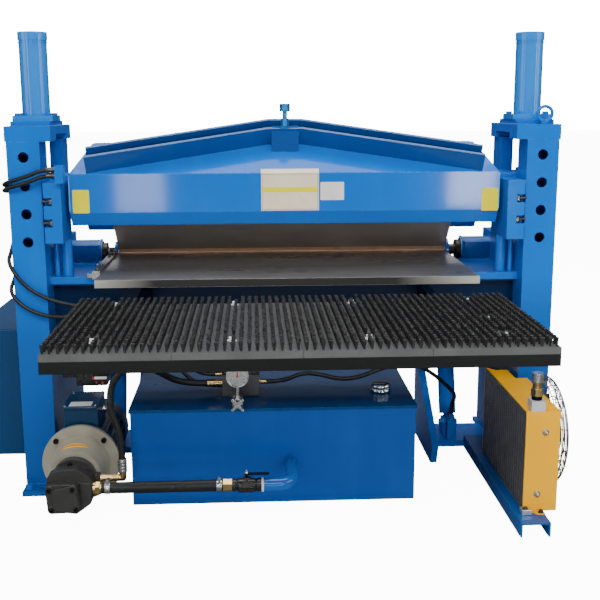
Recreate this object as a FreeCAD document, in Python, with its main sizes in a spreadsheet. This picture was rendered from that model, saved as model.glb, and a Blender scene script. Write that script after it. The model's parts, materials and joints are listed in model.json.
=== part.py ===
import FreeCAD, Part
import Sketcher
import math
import os

# Hydraulic sheet metal folder: two side frames, a clamping beam that two cylinders press down,
# a bed, a folding beam behind the bend line, a brush table in front, and the hydraulic power pack.
# Millimetres. X runs along the bend line, Y goes back from the brush table to the folding beam,
# Z is up, and the origin lies on the floor, midway between the four anchor holes.

SIZES = {
    # Clearances
    "fit_gap": 0.05, "slide_gap": 0.5, "seat_gap": 0.3,
    # Bend line, bed and lower edge
    "bend_depth": 184, "bed_height": 918, "bed_width": 1500, "bed_length": 688, "bed_thick": 30,
    "edge_width": 28.5, "edge_proud": 1, "edge_gap": 0.5,
    # Side frames
    "frame_gap": 1940, "frame_width": 130, "frame_depth": 700, "frame_wall": 12,
    "shoulder_height": 1000, "column_height": 1440, "post_depth": 133, "window_depth": 167,
    "rear_post_depth": 130, "rear_post_width": 52, "rear_post_inset": 30, "cheek_thick": 15,
    "hole_radius": 21, "hole_pitch": 112, "hole_drop": 61,
    "foot_length": 85, "foot_thick": 20, "foot_hole_radius": 11, "foot_hole_reach": 42,
    "anchor_inset": 54, "jack_inset": 108,
    # Cylinder heads
    "head_overhang": 45, "head_lip": 5, "head_height": 60, "notch_start": 112, "notch_length": 230,
    "notch_height": 25, "slab_height": 18, "slab_front": 60, "slab_length": 270,
    "slab_inner": 33, "slab_outer": 8,
    # Clamping cylinders
    "clamp_reach": 42, "clamp_depth": 180, "flange_side": 160, "flange_thick": 22,
    "barrel_radius": 56, "barrel_bore": 45, "barrel_length": 328, "barrel_cap": 18,
    "cap_radius": 59, "cap_length": 43, "cap_groove": 5, "groove_depth": 4, "barrel_floor": 20,
    "rod_radius": 25, "rod_hole_radius": 28, "piston_length": 36, "piston_rest": 24,
    "collar_radius": 38, "collar_height": 18, "flange_bolt_inset": 20,
    # Hexagon bolts
    "bolt_radius": 8, "bolt_head_radius": 14, "bolt_head_height": 10, "bolt_hole_gap": 0.5,
    "jack_radius": 10, "jack_head_radius": 17, "jack_head_height": 12, "washer_radius": 20,
    "washer_thick": 3,
    # Lifting eye
    "eye_inset": 55, "eye_depth": 32, "eye_radius": 29, "eye_wire": 7, "eye_collar_radius": 17,
    "eye_collar_height": 8,
    # Lower beam
    "deck_thick": 30, "deck_front": 75, "deck_side_depth": 365, "trough_front": 130,
    "trough_depth": 350, "trough_height": 258, "trough_wall": 12, "deck_gap": 0.5,
    # Side gauge
    "gauge_width": 30, "gauge_rise": 12, "gauge_height": 32, "gauge_length": 550, "gauge_setback": 30,
    "gauge_foot_width": 36, "gauge_foot_depth": 30, "gauge_foot_height": 17,
    "gauge_foot_first": 230, "gauge_foot_pitch": 245,
    # Stop posts under the guide shoes
    "stop_radius": 21, "stop_offset": 67, "stop_screw_radius": 10, "stop_screw_offset": 25,
    "stop_depth": 110,
    # Upper beam
    "beam_width": 1740, "beam_face": 40, "face_height": 155, "face_rise": 237, "lip_drop": 55,
    "lip_set": 35, "lip_thick": 35, "slope_run": 160, "slope_rise": 115, "top_depth": 96,
    "back_reach": 200, "back_drop": 225, "seat_reach": 79, "seat_root": 266, "belly_front": 95,
    "beam_wall": 14, "hollow_floor": 81, "hollow_half": 780, "corner_cut": 75,
    "tongue_reach": 190, "tongue_rise": 232, "tongue_height": 150,
    # Upper blade
    "blade_thick": 25, "blade_root": 283, "tip_run": 24, "tip_rise": 59.3,
    # Bow truss and its screw
    "rib_thick": 12, "rib_height": 80, "rib_sink": 50, "rib_end": 800, "rib_crown": 70,
    "rib_climb": 180, "rib_start": 4, "rib_pitch": 58, "crown_width": 110, "crown_front": 150,
    "crown_depth": 60, "crown_height": 68, "crown_screw_radius": 10, "crown_screw_depth": 172,
    "crown_screw_length": 127, "crown_head_radius": 22, "crown_head_height": 32,
    "crown_nut_radius": 17, "crown_nut_height": 29, "crown_hole_gap": 1,
    # Guide shoes with their hose block
    "shoe_inset": 10, "shoe_width": 70, "shoe_front": 30, "shoe_rise": 123, "shoe_height": 239,
    "pocket_width": 32, "pocket_depth": 34, "pocket_height": 32, "pocket_first": 1105,
    "pocket_pitch": 85, "shoe_screw_radius": 6, "shoe_screw_head": 11, "shoe_screw_head_length": 9,
    "block_overhang": 17, "block_width": 32, "block_setout": 30, "block_length": 56, "block_height": 70,
    # Folding beam
    "boss_radius": 50, "pin_radius": 25, "housing_length": 144, "housing_half": 50,
    "housing_top": 56, "housing_corner": 16, "housing_rim": 3, "housing_cover": 10, "arm_gap": 2,
    "arm_thick": 12,
    "thrust_radius": 46, "thrust_gap": 0.5, "thrust_thick": 26, "pin_tail": 10,
    "box_front": 6, "box_depth": 170, "box_height": 186, "box_wall": 12,
    "jaw_width": 80, "jaw_thick": 33, "crank_back": 170, "crank_drop": 210, "crank_radius": 34,
    "fold_blade_gap": 0.5,
    # Folding cylinders
    "ram_x": 783, "ram_foot_depth": 150, "ram_foot_height": 90, "ram_radius": 40,
    "ram_bore": 31, "ram_start": 40, "ram_reserve": 92, "ram_floor": 20, "gland_length": 36,
    "ram_rod_radius": 17, "ram_piston": 30, "ram_piston_rest": 10, "ram_eye_radius": 32,
    "ram_eye_width": 36, "ram_pin_radius": 15, "ram_pin_tail": 1.5, "ram_pin_head_radius": 21,
    "ram_pin_head": 6, "crank_washer_radius": 24, "crank_washer": 5,
    "ram_port_radius": 12, "ram_port_height": 34,
    # Feet of the folding cylinders
    "foot_plate_inner": 675, "foot_plate_front": 50, "foot_plate_back": 300,
    "foot_plate_thick": 30, "cheek_width": 12, "cheek_slack": 1, "cheek_back": 52,
    "gusset_thick": 30, "gusset_front": 150, "gusset_nose": 35, "gusset_nose_height": 88,
    "gusset_top": 420, "union_side": 40, "union_front": 55, "union_height": 120,
    # Brush table
    "table_width": 1490, "table_length": 695, "table_back": 520, "board_thick": 20,
    "bristle_height": 28, "rail_height": 36, "rail_width": 40,
    "board_count": 4, "board_joint": 1, "row_count": 64, "row_width": 9, "row_base": 2,
    "row_inset": 12,
    "table_arm_x": 580, "table_arm_width": 40, "table_arm_height": 60, "table_arm_tip": 15,
    "table_arm_taper": 215, "table_arm_nose": 25, "screw_pitch": 410, "screw_back": 25,
    "screw_front": 140, "screw_mid": 330, "screw_radius": 9, "screw_height": 10,
    "screw_washer_radius": 14, "screw_washer": 2, "screw_room": 17,
    # Tank
    "tank_left": 625, "tank_width": 1120, "tank_front": 605, "tank_depth": 600,
    "tank_foot": 25, "tank_height": 380, "tank_wall": 5, "lid_rim": 6, "lid_thick": 12,
    "tank_foot_width": 40, "tank_foot_inset": 70, "filler_x": 380, "filler_depth": 410,
    "filler_radius": 36, "filler_wall": 4, "filler_height": 10, "filler_cap_radius": 43,
    "filler_cap_height": 43,
    # Motor and pump, on one axis
    "motor_x": -818, "motor_height": 212, "motor_front": 600, "motor_flange_radius": 150,
    "motor_flange": 16, "motor_radius": 112, "motor_bore": 80, "motor_length": 320,
    "motor_plate": 14, "fin_count": 24, "fin_height": 14, "fin_thick": 4,
    "cowl_radius": 128, "cowl_length": 90, "cowl_wall": 3, "intake_radius": 60,
    "shaft_radius": 19, "rotor_radius": 78, "rotor_length": 240, "shaft_nose": 62,
    "fan_radius": 100, "fan_hub_radius": 32, "fan_width": 34, "blade_count": 8, "fan_blade": 4,
    "fan_back": 22,
    "terminal_width": 130, "terminal_length": 188, "terminal_rise": 100, "terminal_inset": 6,
    "motor_pad_width": 170, "motor_pad_length": 150, "motor_pad_inset": 160, "motor_pad_slope": 84,
    "bell_length": 150, "bell_radius": 112, "bell_nose_radius": 94, "bell_wall": 14,
    "bell_flange": 20, "bell_nose": 16, "hub_radius": 40, "hub_length": 46, "spider_length": 18,
    "pump_flange_radius": 90, "pump_plate": 30, "pump_lug_radius": 20, "pump_lug_rise": 87,
    "pump_lug_screw": 9, "pump_boss_reach": 97, "pump_boss_half": 22,
    "pump_body_radius": 75, "pump_body_length": 70, "pump_chamber_radius": 46,
    "pump_chamber": 50, "pump_rotor_gap": 1, "pump_shaft_radius": 14, "pump_cap_side": 120,
    "pump_cap_drop": 40, "pump_cap_shift": 30, "pump_cap": 16, "pump_bolt_inset": 20,
    # Suction line
    "suction_depth": 806, "suction_height": 182, "suction_start": -742, "port_radius": 28,
    "nipple_radius": 17, "nipple_bore": 13, "ivory_length": 9, "nut_radius": 25,
    "nut_length": 24, "hose_start": -712, "hose_end": -262, "hose_radius": 21.5,
    "valve_start": -228, "valve_length": 110, "valve_radius": 26, "valve_end_radius": 31,
    "valve_end": 24, "ball_radius": 20, "ball_bore": 12, "stem_radius": 6, "stem_height": 46,
    "lever_length": 78, "lever_width": 16, "lever_thick": 5, "ring_length": 8,
    "pipe_radius": 24, "pipe_run": 70, "pipe_turn": 60, "pipe_wall": 4, "pipe_bend": 80,
    "pipe_turn_x": -80, "pipe_rise": 6,
    # Valve block and gauge
    "block_left": -270, "block_right": -120, "block_near": 450, "block_deep": 120,
    "block_tall": 90, "coil_radius": 20, "coil_length": 60, "coil_pitch": 46, "coil_base": 22,
    "gauge_x": -206, "gauge_front": 605, "gauge_body": 38, "gauge_body_depth": 60,
    "gauge_body_height": 38, "gauge_stem_radius": 8, "gauge_centre": 541, "gauge_radius": 44,
    "gauge_case": 34, "gauge_wall": 3, "dial_depth": 6, "pointer_length": 32, "pointer_width": 4,
    "pointer_thick": 1.5, "pointer_hub": 5, "handle_depth": 24, "handle_radius": 32,
    "handle_thick": 9, "handle_hub": 11, "spindle_radius": 5, "spindle_length": 30,
    # Brass fittings on the power pack
    "outlet_x": -638, "outlet_depth": 765, "outlet_height": 206, "outlet_radius": 14,
    "ferrule_radius": 16, "ferrule_length": 54, "inlet_radius": 16, "inlet_length": 60,
    "pressure_port_depth": 30, "pressure_port_height": 51, "first_port_depth": 100,
    "first_port_height": 68, "second_port_depth": 75, "second_port_height": 28,
    "side_port_depth": 60, "side_port_height": 45, "port_stub": 30,
    # Oil cooler and the channel that carries it
    "skid_x": 896, "skid_width": 114, "skid_height": 56, "skid_wall": 8, "skid_reach": 110,
    "cooler_x": 940, "cooler_width": 130, "cooler_gap": 15, "cooler_length": 455,
    "cooler_height": 395, "cooler_sheet": 4, "core_width": 76, "core_inset": 8,
    "core_fins": 22, "fin_depth": 5, "core_length": 650,
    "duct_plate": 4, "duct_mouth": 143, "fan_height": 246,
    "header_width": 52, "header_length": 58, "header_height": 40, "header_inset": 18,
    "guard_wire": 2.2, "spoke_half": 1.5, "guard_radius": 199, "guard_reach": 54, "guard_spokes": 10,
    "fan_motor_radius": 44, "fan_motor_length": 24, "fan_shaft": 8, "vane_count": 6,
    "vane_radius": 150, "vane_hub": 46, "vane_thick": 3, "vane_width": 18,
    "cooler_seal_radius": 20, "cooler_seal": 15, "cooler_nut_radius": 24, "cooler_nut": 27,
    "cooler_fit_radius": 17, "cooler_fit_height": 70, "cooler_hose_radius": 22,
    "cooler_hose_height": 34,
    # Control cabinet
    "cabinet_width": 310, "cabinet_depth": 720, "cabinet_height": 590, "cabinet_back": 85,
    "cabinet_wall": 4, "door_thick": 20, "door_skin": 2, "door_edge": 2, "hinge_radius": 6,
    "hinge_pin": 3, "hinge_length": 40, "hinge_inset": 70, "ear_width": 8, "ear_height": 10,
    "ear_reach": 20, "lock_radius": 14, "lock_length": 12,
    "lock_inset": 26, "lock_shaft": 5, "cam_length": 34, "cam_thick": 4,
    # Hoses
    "thin_hose": 8, "line_hose": 9, "pressure_hose_radius": 13, "side_fitting": 16,
    "side_fitting_out": 20, "side_fitting_length": 22, "upper_port_depth": 202,
    "upper_port_height": 1238, "upper_port_shift": 35, "upper_port_rise": 20,
    "lower_port_depth": 155, "lower_port_height": 1172, "lower_port_shift": 45,
    "lower_port_drop": 105,
}

doc = FreeCAD.newDocument("folder")
sheet = doc.addObject("Spreadsheet::Sheet", "Sizes")
for row, (alias, number) in enumerate(SIZES.items(), 1):
    sheet.set(f"A{row}", alias)
    sheet.set(f"B{row}", str(number))
    sheet.setAlias(f"B{row}", alias)
doc.recompute()


class Size:
    """A size known as a number and as the expression that gives it from the sheet."""

    def __init__(self, value, text):
        self.value = value
        self.text = text

    def __add__(self, other):
        other = size(other)
        return Size(self.value + other.value, f"({self.text} + {other.text})")

    def __sub__(self, other):
        other = size(other)
        return Size(self.value - other.value, f"({self.text} - {other.text})")

    def __mul__(self, other):
        other = size(other)
        return Size(self.value * other.value, f"({self.text} * {other.text})")

    def __truediv__(self, other):
        other = size(other)
        return Size(self.value / other.value, f"({self.text} / {other.text})")

    def __neg__(self):
        return Size(-self.value, f"(-{self.text})")

    def __radd__(self, other):
        return size(other) + self

    def __rsub__(self, other):
        return size(other) - self

    def __rmul__(self, other):
        return size(other) * self


def size(number):
    return number if isinstance(number, Size) else Size(number, repr(number))


class Cells:
    """The cells of the sheet as sizes, read by name."""

    def __getattr__(self, alias):
        return Size(float(sheet.get(alias)), f"Sizes.{alias}")


c = Cells()

# Places that several pieces share
FRONT = -c.frame_depth / 2
INNER = c.frame_gap / 2
OUTER = INNER + c.frame_width
BED_BOTTOM = c.bed_height - c.bed_thick
BED_BACK = c.bend_depth - c.edge_gap - c.edge_width
BED_HALF = c.bed_width / 2
AXIS_Z = c.bed_height + c.edge_proud + c.edge_gap
HEAD_TOP = c.column_height + c.head_height
FLANGE_BASE = HEAD_TOP + c.slab_height
FLANGE_TOP = FLANGE_BASE + c.flange_thick
CLAMP_X = INNER + c.clamp_reach
CLAMP_Y = FRONT + c.clamp_depth
WINDOW_FRONT = FRONT + c.post_depth
WINDOW_BACK = WINDOW_FRONT + c.window_depth
BEAM_HALF = c.beam_width / 2
FACE_Y = FRONT + c.beam_face
FACE_LOW = c.bed_height + c.face_rise
FACE_TOP = FACE_LOW + c.face_height
TOP_Y = FACE_Y + c.slope_run
TOP_Z = FACE_TOP + c.slope_rise
TONGUE_LOW = c.bed_height + c.tongue_rise
TONGUE_TOP = TONGUE_LOW + c.tongue_height
SHOE_LOW = c.bed_height + c.shoe_rise
ARM_INNER = BED_HALF + c.arm_gap
ARM_OUTER = ARM_INNER + c.arm_thick
CRANK_Y = c.bend_depth + c.crank_back
CRANK_Z = AXIS_Z - c.crank_drop
TABLE_Z = c.bed_height - c.bristle_height
RAIL_TOP = TABLE_Z - c.board_thick
RAIL_LOW = RAIL_TOP - c.rail_height
TABLE_BACK = FRONT - c.table_back
TABLE_FRONT = TABLE_BACK - c.table_length
TANK_TOP = c.tank_foot + c.tank_height
LID_TOP = TANK_TOP + c.lid_thick
MOTOR_FACE = -c.motor_front
PUMP_FACE = MOTOR_FACE - c.bell_length
SUCTION_Y = -c.suction_depth
BLOCK_TOP = LID_TOP + c.block_tall
COOLER_LOW = c.skid_height
COOLER_BACK = FRONT - c.cooler_gap
COOLER_FRONT = COOLER_BACK - c.cooler_length
CORE_BACK = COOLER_FRONT + c.core_length
COOLER_TOP = COOLER_LOW + c.cooler_height
FAN_Y = COOLER_FRONT + c.cooler_length / 2
FAN_Z = COOLER_LOW + c.fan_height
DOOR_BACK = c.cabinet_back

SIDES = {"x": "YZ", "y": "XZ", "z": "XY"}
TURNS = {
    "x": FreeCAD.Rotation(FreeCAD.Vector(0, 1, 0), 90),
    "y": FreeCAD.Rotation(FreeCAD.Vector(1, 0, 0), -90),
    "z": FreeCAD.Rotation(),
}
NODES = {}


def node(name, piece):
    """Name a finished piece, so that it is written to a file of that name."""
    piece.Label = name
    NODES[name] = piece
    return piece


def bind(piece, cell, value):
    piece.setExpression(cell, size(value).text)


def put(piece, x=0, y=0, z=0):
    for letter, value in zip("xyz", (x, y, z)):
        bind(piece, f"Placement.Base.{letter}", value)
    return piece


def box(x, y, z):
    """A block between the low and high ends given for each axis."""
    piece = doc.addObject("Part::Box", "Block")
    for side, (low, high) in zip(("Length", "Width", "Height"), (x, y, z)):
        bind(piece, side, size(high) - low)
    return put(piece, x[0], y[0], z[0])


def along(piece, axis, low, centre):
    """Turn a round piece along an axis and set its low end and its centre line."""
    piece.Placement = FreeCAD.Placement(FreeCAD.Vector(), TURNS[axis])
    spots = list(centre)
    spots.insert("xyz".index(axis), low)
    return put(piece, *spots)


def bar(axis, radius, low, high, centre):
    piece = doc.addObject("Part::Cylinder", "Bar")
    bind(piece, "Radius", radius)
    bind(piece, "Height", size(high) - low)
    return along(piece, axis, low, centre)


def taper(axis, first, last, low, high, centre):
    piece = doc.addObject("Part::Cone", "Taper")
    bind(piece, "Radius1", first)
    bind(piece, "Radius2", last)
    bind(piece, "Height", size(high) - low)
    return along(piece, axis, low, centre)


def hexagon(axis, radius, low, high, centre):
    piece = doc.addObject("Part::Prism", "Hexagon")
    piece.Polygon = 6
    bind(piece, "Circumradius", radius)
    bind(piece, "Height", size(high) - low)
    return along(piece, axis, low, centre)


def ball(radius, x, y, z):
    piece = doc.addObject("Part::Sphere", "Ball")
    bind(piece, "Radius", radius)
    return put(piece, x, y, z)


def hoop(axis, radius, wire, place, centre):
    piece = doc.addObject("Part::Torus", "Hoop")
    bind(piece, "Radius1", radius)
    bind(piece, "Radius2", wire)
    return along(piece, axis, place, centre)


def fuse(*pieces):
    if len(pieces) == 1:
        return pieces[0]
    joined = doc.addObject("Part::MultiFuse", "Weldment")
    joined.Shapes = list(pieces)
    return joined


def cut(base, *tools):
    left = doc.addObject("Part::Cut", "Machined")
    left.Base = base
    left.Tool = fuse(*tools)
    return left


def group(*pieces):
    """Separate solids that share one node."""
    together = doc.addObject("Part::Compound", "Set")
    together.Links = list(pieces)
    return together


def tube(axis, outer, inner, low, high, centre):
    return cut(bar(axis, outer, low, high, centre), bar(axis, inner, low, high, centre))


def mirror(piece):
    """The same piece on the other side of the machine."""
    other = doc.addObject("Part::Mirroring", "Opposite")
    other.Source = piece
    other.Normal = FreeCAD.Vector(1, 0, 0)
    other.Base = FreeCAD.Vector(0, 0, 0)
    return other


def both(piece):
    return group(piece, mirror(piece))


def turned(piece, axis, angle, x=0, y=0, z=0):
    """A copy of a piece turned about an axis through the origin and then moved."""
    holder = doc.addObject("Part::Compound", "Turned")
    holder.Links = [piece]
    holder.Placement = FreeCAD.Placement(FreeCAD.Vector(), FreeCAD.Rotation(FreeCAD.Vector(*axis), 1))
    bind(holder, "Placement.Rotation.Angle", angle)
    return put(holder, x, y, z)


def prism(axis, points, low, high):
    """A padded outline: its points are the two other coordinates, in X, Y, Z order."""
    body = doc.addObject("PartDesign::Body", "Profile")
    role = SIDES[axis] + "_Plane"
    plane = [part for part in body.Origin.OriginFeatures if part.Role == role][0]
    sketch = body.newObject("Sketcher::SketchObject", "Outline")
    sketch.AttachmentSupport = [(plane, "")]
    sketch.MapMode = "FlatFace"
    corners = [(size(first), size(second)) for first, second in points]
    spots = [FreeCAD.Vector(first.value, second.value, 0) for first, second in corners]
    for start, end in zip(spots, spots[1:] + spots[:1]):
        sketch.addGeometry(Part.LineSegment(start, end))
    for index, corner in enumerate(corners):
        following = (index + 1) % len(corners)
        sketch.addConstraint(Sketcher.Constraint("Coincident", index, 2, following, 1))
        for kind, length in zip(("DistanceX", "DistanceY"), corner):
            number = sketch.addConstraint(Sketcher.Constraint(kind, -1, 1, index, 1, length.value))
            sketch.setExpression(f"Constraints[{number}]", length.text)
    pad = body.newObject("PartDesign::Pad", "Pad")
    pad.Profile = sketch
    pad.Reversed = axis == "y"
    bind(pad, "Length", size(high) - low)
    spots = {"x": 0, "y": 0, "z": 0}
    spots[axis] = low
    return put(body, **spots)


def side_frame():
    low_back = c.frame_depth / 2
    outline = [
        (FRONT, 0), (low_back, 0), (low_back, c.shoulder_height), (WINDOW_FRONT, c.shoulder_height),
        (WINDOW_FRONT, c.column_height), (FRONT, c.column_height),
    ]
    wall = c.frame_wall
    hollow = [
        (FRONT + wall, wall), (low_back - wall, wall), (low_back - wall, c.shoulder_height - wall),
        (WINDOW_FRONT - wall, c.shoulder_height - wall), (WINDOW_FRONT - wall, c.column_height - wall),
        (FRONT + wall, c.column_height - wall),
    ]
    post_inner = INNER - c.rear_post_inset
    rear_post = box(
        (post_inner, post_inner + c.rear_post_width), (WINDOW_BACK, WINDOW_BACK + c.rear_post_depth),
        (BED_BOTTOM, c.column_height),
    )
    cheek = box(
        (OUTER - c.cheek_thick, OUTER), (WINDOW_FRONT, WINDOW_BACK + c.rear_post_depth),
        (c.shoulder_height, c.column_height),
    )
    shell = cut(prism("x", outline, INNER, OUTER), prism("x", hollow, INNER + wall, OUTER - wall))
    feet = [
        box((INNER, OUTER), (FRONT - c.foot_length, FRONT), (0, c.foot_thick)),
        box((INNER, OUTER), (low_back, low_back + c.foot_length), (0, c.foot_thick)),
    ]
    holes = [
        bar("z", c.foot_hole_radius, 0, c.foot_thick, (INNER + inset, spot))
        for inset in (c.anchor_inset, c.jack_inset)
        for spot in (FRONT - c.foot_hole_reach, low_back + c.foot_hole_reach)
    ]
    centre = INNER + c.frame_width / 2
    for step in range(4):
        height = c.column_height - c.hole_drop - c.hole_pitch * step
        holes.append(bar("y", c.hole_radius, FRONT, FRONT + wall, (centre, height)))
    return cut(fuse(shell, rear_post, cheek, *feet), *holes)


def cylinder_head():
    low_x = INNER - c.head_overhang
    back = WINDOW_BACK + c.rear_post_depth
    block = box((low_x, OUTER + c.head_lip), (FRONT, back), (c.column_height, HEAD_TOP))
    slab = box(
        (INNER - c.slab_inner, OUTER - c.slab_outer),
        (FRONT + c.slab_front, FRONT + c.slab_front + c.slab_length), (HEAD_TOP, FLANGE_BASE),
    )
    start = FRONT + c.notch_start
    notch = box(
        (low_x, OUTER - c.cheek_thick), (start, start + c.notch_length),
        (c.column_height, c.column_height + c.notch_height),
    )
    hole = bar("z", c.rod_hole_radius, c.column_height, FLANGE_BASE, (CLAMP_X, CLAMP_Y))
    return cut(fuse(block, slab), notch, hole)


def flange_corners():
    reach = c.flange_side / 2 - c.flange_bolt_inset
    return [
        (CLAMP_X + side * reach, CLAMP_Y + depth * reach) for side in (-1, 1) for depth in (-1, 1)
    ]


def clamp_barrel():
    half = c.flange_side / 2
    centre = (CLAMP_X, CLAMP_Y)
    top = FLANGE_TOP + c.barrel_length
    flange = box(
        (CLAMP_X - half, CLAMP_X + half), (CLAMP_Y - half, CLAMP_Y + half), (FLANGE_BASE, FLANGE_TOP)
    )
    cap = bar("z", c.cap_radius, top - c.cap_length, top, centre)
    groove_low = top - c.cap_length + c.cap_groove
    groove = cut(
        bar("z", c.cap_radius, groove_low, groove_low + c.cap_groove, centre),
        bar("z", c.cap_radius - c.groove_depth, groove_low, groove_low + c.cap_groove, centre),
    )
    bore = bar("z", c.barrel_bore, FLANGE_BASE + c.barrel_floor, top - c.barrel_cap, centre)
    gland = bar("z", c.rod_radius + c.fit_gap, FLANGE_BASE, FLANGE_BASE + c.barrel_floor, centre)
    bolt_holes = [
        bar("z", c.bolt_radius + c.bolt_hole_gap, FLANGE_BASE, FLANGE_TOP, spot)
        for spot in flange_corners()
    ]
    body = fuse(flange, bar("z", c.barrel_radius, FLANGE_TOP, top, centre), cap)
    return cut(body, groove, bore, gland, *bolt_holes)


def piston_rod():
    centre = (CLAMP_X, CLAMP_Y)
    piston_low = FLANGE_BASE + c.barrel_floor + c.piston_rest
    return fuse(
        bar("z", c.collar_radius, TONGUE_TOP, TONGUE_TOP + c.collar_height, centre),
        bar("z", c.rod_radius, TONGUE_TOP, piston_low + c.piston_length, centre),
        bar("z", c.barrel_bore - c.fit_gap, piston_low, piston_low + c.piston_length, centre),
    )


def frame_bolts():
    """Hexagon bolts of the cylinder flanges, the jacking screws of the feet, the gauge bolts."""
    right = []
    for spot in flange_corners():
        right.append(fuse(
            bar("z", c.bolt_radius, FLANGE_BASE, FLANGE_TOP, spot),
            hexagon("z", c.bolt_head_radius, FLANGE_TOP, FLANGE_TOP + c.bolt_head_height, spot),
        ))
    for spot in (FRONT - c.foot_hole_reach, c.frame_depth / 2 + c.foot_hole_reach):
        centre = (INNER + c.jack_inset, spot)
        washer_top = c.foot_thick + c.washer_thick
        right.append(fuse(
            bar("z", c.jack_radius, c.slide_gap, washer_top, centre),
            bar("z", c.washer_radius, c.foot_thick, washer_top, centre),
            hexagon("z", c.jack_head_radius, washer_top, washer_top + c.jack_head_height, centre),
        ))
    left = [mirror(piece) for piece in right]
    gauge_bolts = []
    for spot in gauge_feet():
        centre = (-BED_HALF - c.gauge_width - c.gauge_foot_width / 2, spot + c.gauge_foot_depth / 2)
        top = BED_BOTTOM + c.gauge_foot_height
        gauge_bolts.append(hexagon("z", c.bolt_head_radius, top, top + c.bolt_head_height, centre))
    return group(*right, *left, *gauge_bolts)


def lifting_eye():
    centre = (OUTER - c.eye_inset, FRONT + c.eye_depth)
    ring_z = HEAD_TOP + c.eye_collar_height + c.eye_radius + c.eye_wire / 2
    ring = hoop("y", c.eye_radius, c.eye_wire, centre[1], (centre[0], ring_z))
    collar = bar("z", c.eye_collar_radius, HEAD_TOP, HEAD_TOP + c.eye_collar_height, centre)
    return fuse(ring, collar)


def lower_beam():
    deck_low = BED_BOTTOM - c.deck_thick
    front = FRONT + c.deck_front
    side_back = front + c.deck_side_depth
    deck = box((-INNER, INNER), (front, side_back), (deck_low, BED_BOTTOM))
    tail = box((-BED_HALF, BED_HALF), (side_back, c.bend_depth - c.deck_gap), (deck_low, BED_BOTTOM))
    trough_front = FRONT + c.trough_front
    trough_back = trough_front + c.trough_depth
    trough_low = deck_low - c.trough_height
    wall = c.trough_wall
    trough = cut(
        box((-INNER, INNER), (trough_front, trough_back), (trough_low, deck_low)),
        box((-INNER + wall, INNER - wall), (trough_front + wall, trough_back - wall),
            (trough_low + wall, deck_low)),
    )
    return fuse(deck, tail, trough)


def gauge_feet():
    first = BED_BACK - c.bed_length + c.gauge_foot_first
    return [first, first + c.gauge_foot_pitch]


def side_gauge():
    outer = -BED_HALF - c.gauge_width
    top = c.bed_height + c.gauge_rise
    front = BED_BACK - c.gauge_length
    strip = box((outer, -BED_HALF), (front, BED_BACK - c.gauge_setback), (top - c.gauge_height, top))
    feet = [
        box((outer - c.gauge_foot_width, outer), (spot, spot + c.gauge_foot_depth),
            (BED_BOTTOM, BED_BOTTOM + c.gauge_foot_height))
        for spot in gauge_feet()
    ]
    risers = [
        box((outer, -BED_HALF), (spot, spot + c.gauge_foot_depth),
            (BED_BOTTOM, top - c.gauge_height / 2))
        for spot in gauge_feet()
    ]
    return fuse(strip, *feet, *risers)


def stop_posts():
    spot = FRONT + c.stop_depth
    top = SHOE_LOW - c.seat_gap
    return both(group(
        bar("z", c.stop_radius, BED_BOTTOM, top, (INNER - c.stop_offset, spot)),
        bar("z", c.stop_screw_radius, BED_BOTTOM, top, (INNER - c.stop_screw_offset, spot)),
    ))


def seat_height(depth):
    """Height of the inclined seat of the upper blade at a depth: it falls back at 45 degrees."""
    return AXIS_Z + c.bend_depth - c.edge_gap - depth + c.blade_thick * math.sqrt(2)


def beam_outline():
    lip_y = FACE_Y + c.lip_set
    seat_end = c.bend_depth - c.seat_reach
    seat_start = c.bend_depth - c.seat_root
    lip_back = lip_y + c.lip_thick
    belly = FACE_Y + c.belly_front
    return [
        (FACE_Y, FACE_LOW), (FACE_Y, FACE_TOP), (TOP_Y, TOP_Z), (TOP_Y + c.top_depth, TOP_Z),
        (FACE_Y + c.slope_run + c.back_reach, TOP_Z - c.back_drop), (seat_end, seat_height(seat_end)),
        (seat_start, seat_height(seat_start)), (belly, seat_height(seat_start)),
        (lip_back, FACE_LOW - c.lip_drop), (lip_y, FACE_LOW - c.lip_drop),
    ]


def upper_beam():
    wall = c.beam_wall
    floor = FACE_LOW + c.hollow_floor
    slope = c.slope_rise / c.slope_run
    back_slope = (c.back_reach - c.top_depth) / c.back_drop
    hollow = [
        (FACE_Y + wall, floor), (FACE_Y + wall, FACE_TOP - wall + wall * slope),
        (TOP_Y, TOP_Z - wall), (TOP_Y + c.top_depth - wall, TOP_Z - wall),
        (TOP_Y + c.top_depth + (TOP_Z - floor) * back_slope - wall * 1.5, floor),
    ]
    corner = [
        (BEAM_HALF - c.corner_cut, TOP_Z), (BEAM_HALF, FACE_TOP),
        (BEAM_HALF + wall, FACE_TOP), (BEAM_HALF + wall, TOP_Z + wall),
        (BEAM_HALF - c.corner_cut, TOP_Z + wall),
    ]
    corner_cut = prism("y", corner, FACE_Y, FACE_Y + c.slope_run + c.back_reach)
    tongue = box(
        (BEAM_HALF, BEAM_HALF + c.tongue_reach),
        (WINDOW_FRONT + c.slide_gap, WINDOW_BACK - c.slide_gap), (TONGUE_LOW, TONGUE_TOP),
    )
    body = prism("x", beam_outline(), -BEAM_HALF, BEAM_HALF)
    return cut(
        fuse(body, tongue, mirror(tongue)),
        prism("x", hollow, -c.hollow_half, c.hollow_half), corner_cut, mirror(corner_cut),
    )


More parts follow.
